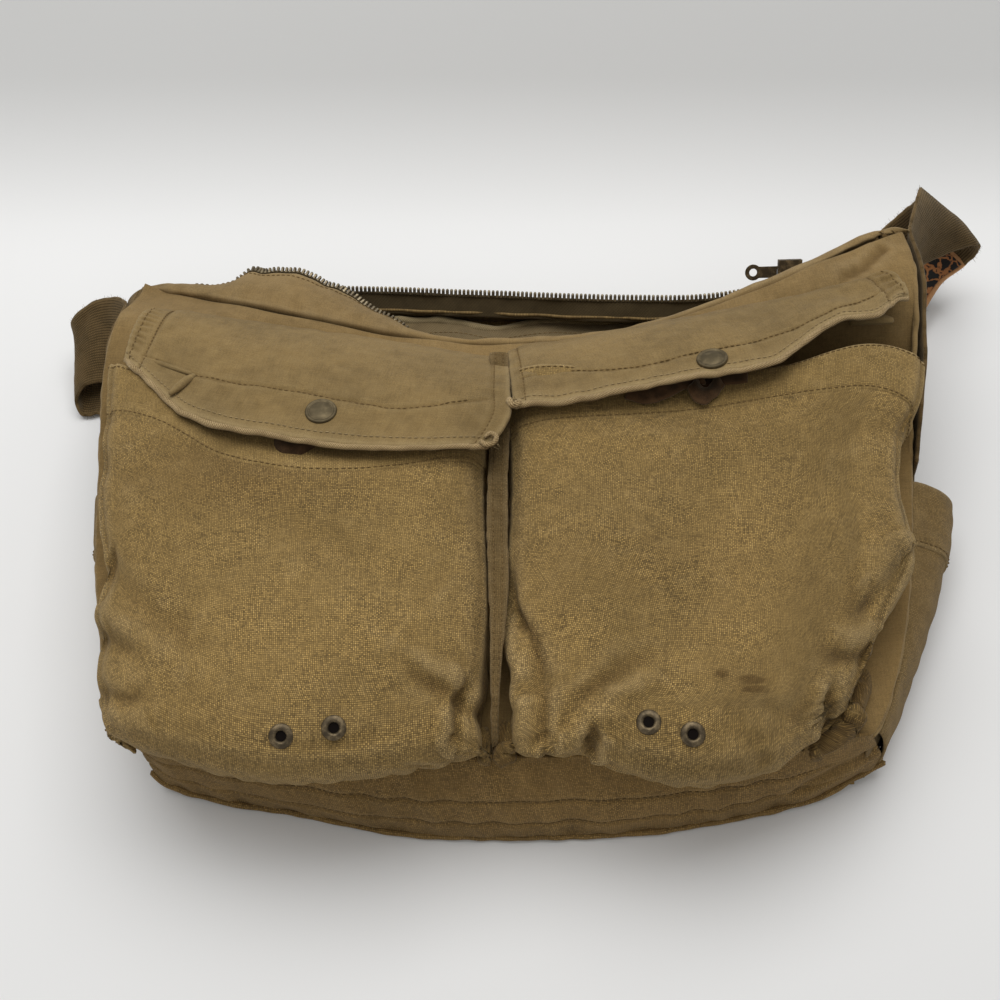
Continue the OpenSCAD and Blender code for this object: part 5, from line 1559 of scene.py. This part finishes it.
def strap():
    """The webbing, cupped and wavy where it hangs free, with fibres along its edges."""
    mid, wide, along, k = strap_path()
    up = unit(np.cross(along, wide))
    q = np.linspace(-1, 1, 26)
    loose = np.where((mid[:, 2] > Z_TOP + 1) | (mid[:, 0] < -225), 1.0, 0.0)
    for _ in range(30):
        loose = (np.roll(loose, 1) + loose + np.roll(loose, -1)) / 3
    cup = 2.0 * loose[:, None] * (q**2)[None] * np.sin(k / 46)[:, None]
    wave = 0.9 * loose[:, None] * waves(pair(k[:, None], 24 * q[None]), 30, 101)
    tiny = 0.12 * waves(pair(k[:, None], 24 * q[None]), 6, 102)
    edge = 0.25 * waves(pair(k[:, None], 60 * np.sign(q)[None]), 5, 103)
    across = WEB_W / 2 * q[None, :, None] + (edge * np.abs(q[None]) ** 6)[..., None]
    p = mid[:, None] + wide[:, None] * across + up[:, None] * (cup + wave + tiny)[..., None]
    p[..., 2] = np.maximum(p[..., 2], 1.0)   # off the floor
    piece = cloth("shoulder_strap_web", p + normals(p) * WEB_T / 2, WEB_T, strap_web, ["shoulder_strap"],
                  edge_wear=(0.3, 0.3, 0.7, 0.7))
    fuzz("shoulder_strap_fuzz", [p[:, 0], p[:, -1]], [-wide, wide], 2.2, strap_web, "webbing")


def fuzz(name, edges, ways, size, material, slot, body="bag", gap=1.1, seed=5):
    """Short loose fibres along edges."""
    rng = np.random.default_rng(seed)
    verts, faces, flat = [], [], []
    for edge, way in zip(edges, ways):
        k = lengths(edge)
        for s in np.arange(0, k[-1], gap):
            at = s + rng.uniform(-0.5, 0.5)
            start, out = at_length(at, k, edge), at_length(at, k, way)
            bend = rng.normal(size=3) * 0.55
            length = size * rng.uniform(0.25, 1.0)
            pts = [start - out * 0.3, start + (out + bend * 0.4) * length * 0.5,
                   start + (out + bend) * length]
            if min(q[2] for q in pts) < 0.2:
                continue
            faces += ring_faces(len(verts), 3, 3)
            for c, r in zip(pts, (0.11, 0.09, 0.04)):
                for g in range(3):
                    a = g * 2 * math.pi / 3
                    verts.append(c + r * np.array([math.cos(a), math.sin(a), math.cos(a + 1)]))
                    flat.append((at, g * 0.2))
    set_maps(new_object(name, np.array(verts), faces, material, body), np.array(flat), 0.5)


def shoulder_pad():
    """Leather-backed pad under the webbing, from its fold on the right to the middle of the bag."""
    mid, wide, along, k = strap_path()
    up = unit(np.cross(along, wide))
    first = int(np.argmin(((mid - (261, 197, 38)) ** 2).sum(1)))
    last = int(np.argmin(((mid - (12, RUN_Y, Z_TOP)) ** 2).sum(1)))
    mid, wide, up, k = mid[first:last], wide[first:last], up[first:last], k[first:last]
    q = np.linspace(-1, 1, 34)
    puff = 0.9 * (1 - np.abs(q) ** 4)[None] * (0.7 + 0.3 * waves(pair(k[:, None], 30 * q[None]), 20, 111))
    half = mix(23.5, 29, smooth(20, 75, k - k[0]))
    far = mix(2, 29, smooth(35, 100, k - k[0]))
    place = mix(-half[:, None], far[:, None], (q[None] + 1) / 2)[..., None]
    p = mid[:, None] + wide[:, None] * place - up[:, None] * 4.4
    p = facing_way(p, -up.mean(0))
    pad = cloth("shoulder_pad_body", p, 3.2, pad_tan, ["shoulder_pad"], edge_wear=(0.4, 0.4, 0.5, 0.5))
    lift = (5.2 + 0.25 * puff)[..., None]
    lower = mid[:, None] + wide[:, None] * (place * 0.94) - up[:, None] * lift
    lower = facing_way(lower, -up.mean(0))
    cloth("shoulder_pad_lining_skin", lower, 0.8, pad_black, ["shoulder_pad_lining"])
    sew(p, column=0.06)
    sew(p, column=0.94)


strap()
shoulder_pad()


# ---------- small worn things ----------
FRAYED = [   # name, points, radii, cloth, slot, body, wear, sides, step
    ("flap_left_corner_tab",
     [(-156.5, 22.5, 94.6), (-153, 27, 94.6), (-149.5, 32, 94.2), (-147.3, 35.5, 93.2)],
     [1.1, 2.0, 2.1, 1.3], duck_soft, "canvas", "flap_left_body", 0.4, 12, 0.8),
    ("flap_left_corner_fold",
     [(-181, 55, 86.4), (-172, 49.5, 88.6), (-160, 42.5, 91.5), (-148.5, 36, 93.6)],
     [0.9, 1.3, 1.3, 1.0], duck_soft, "canvas", "flap_left_body", 0.3, 10, 0.8),
    ("flap_left_frayed_loop",
     [(-9, -7, 95.6), (-6, -9.6, 96), (-2.6, -8.2, 96.4), (-1.9, -4.4, 96), (-4.6, -3.0, 96.4),
      (-7.0, -5.2, 96.2)],
     [1.0, 1.4, 1.3, 1.2, 1.2, 0.7], piping_cloth, "piping", "flap_left_body", 0.9, 12, 0.6),
    ("flap_right_frayed_end",
     [(4.4, 21, 93.2), (4.8, 18, 94.2), (6.4, 15.9, 94.6), (8.6, 16.8, 94.6), (9.0, 19, 94.4)],
     [1.0, 1.9, 2.1, 1.9, 1.0], piping_cloth, "piping", "flap_right_body", 1.0, 12, 0.6),
    ("flap_right_rolled_end",
     [(177, 76, 87.5), (181, 76, 89), (186, 75.6, 90.5), (193, 75, 91), (197, 74.6, 90.6)],
     [1.4, 2.5, 2.8, 2.7, 1.6], duck_soft, "canvas", "flap_right_body", 0.4, 14, 0.8)]


def frayed_corners():
    """Folded corner and frayed ends of the flaps' borders."""
    for name, points, radii, material, slot, body, wear, sides, step in FRAYED:
        tube(name, points, radii, material, body, sides=sides, wear=wear, step=step)
    rng = np.random.default_rng(4)
    for side, at in ((LEFT, (-3.5, -7.5, 96)), (RIGHT, (6.5, 17, 94.6))):
        edge = np.array([np.array(at) + rng.normal(size=3) * 1.1 for _ in range(30)])
        way = unit(rng.normal(size=(30, 3)) + (0, -0.6, 0.4))
        fuzz(f"flap_{SIDES[side]}_frayed_threads", [edge], [way], 2.6, pale_thread, "piping",
             BODY_OF_FLAP[side], gap=1.2, seed=9)


frayed_corners()
# the metal that is kept as it is in the model gets a better material
for name in ("zip_slider", "zip_pull", "snap_post_left", "snap_post_right"):
    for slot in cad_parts[name].material_slots:
        slot.material = brass


# ---------- end ----------
stitches["bag"].make("stitches_bag", tan_thread, "bag")
for side, body in BODY_OF_FLAP.items():
    bend_at_seam(stitches[body].make(f"stitches_{body}", tan_thread, None), side)
for body, rows in light_stitches.items():
    rows.make(f"light_stitches_{body}", pale_thread, body, "piping")
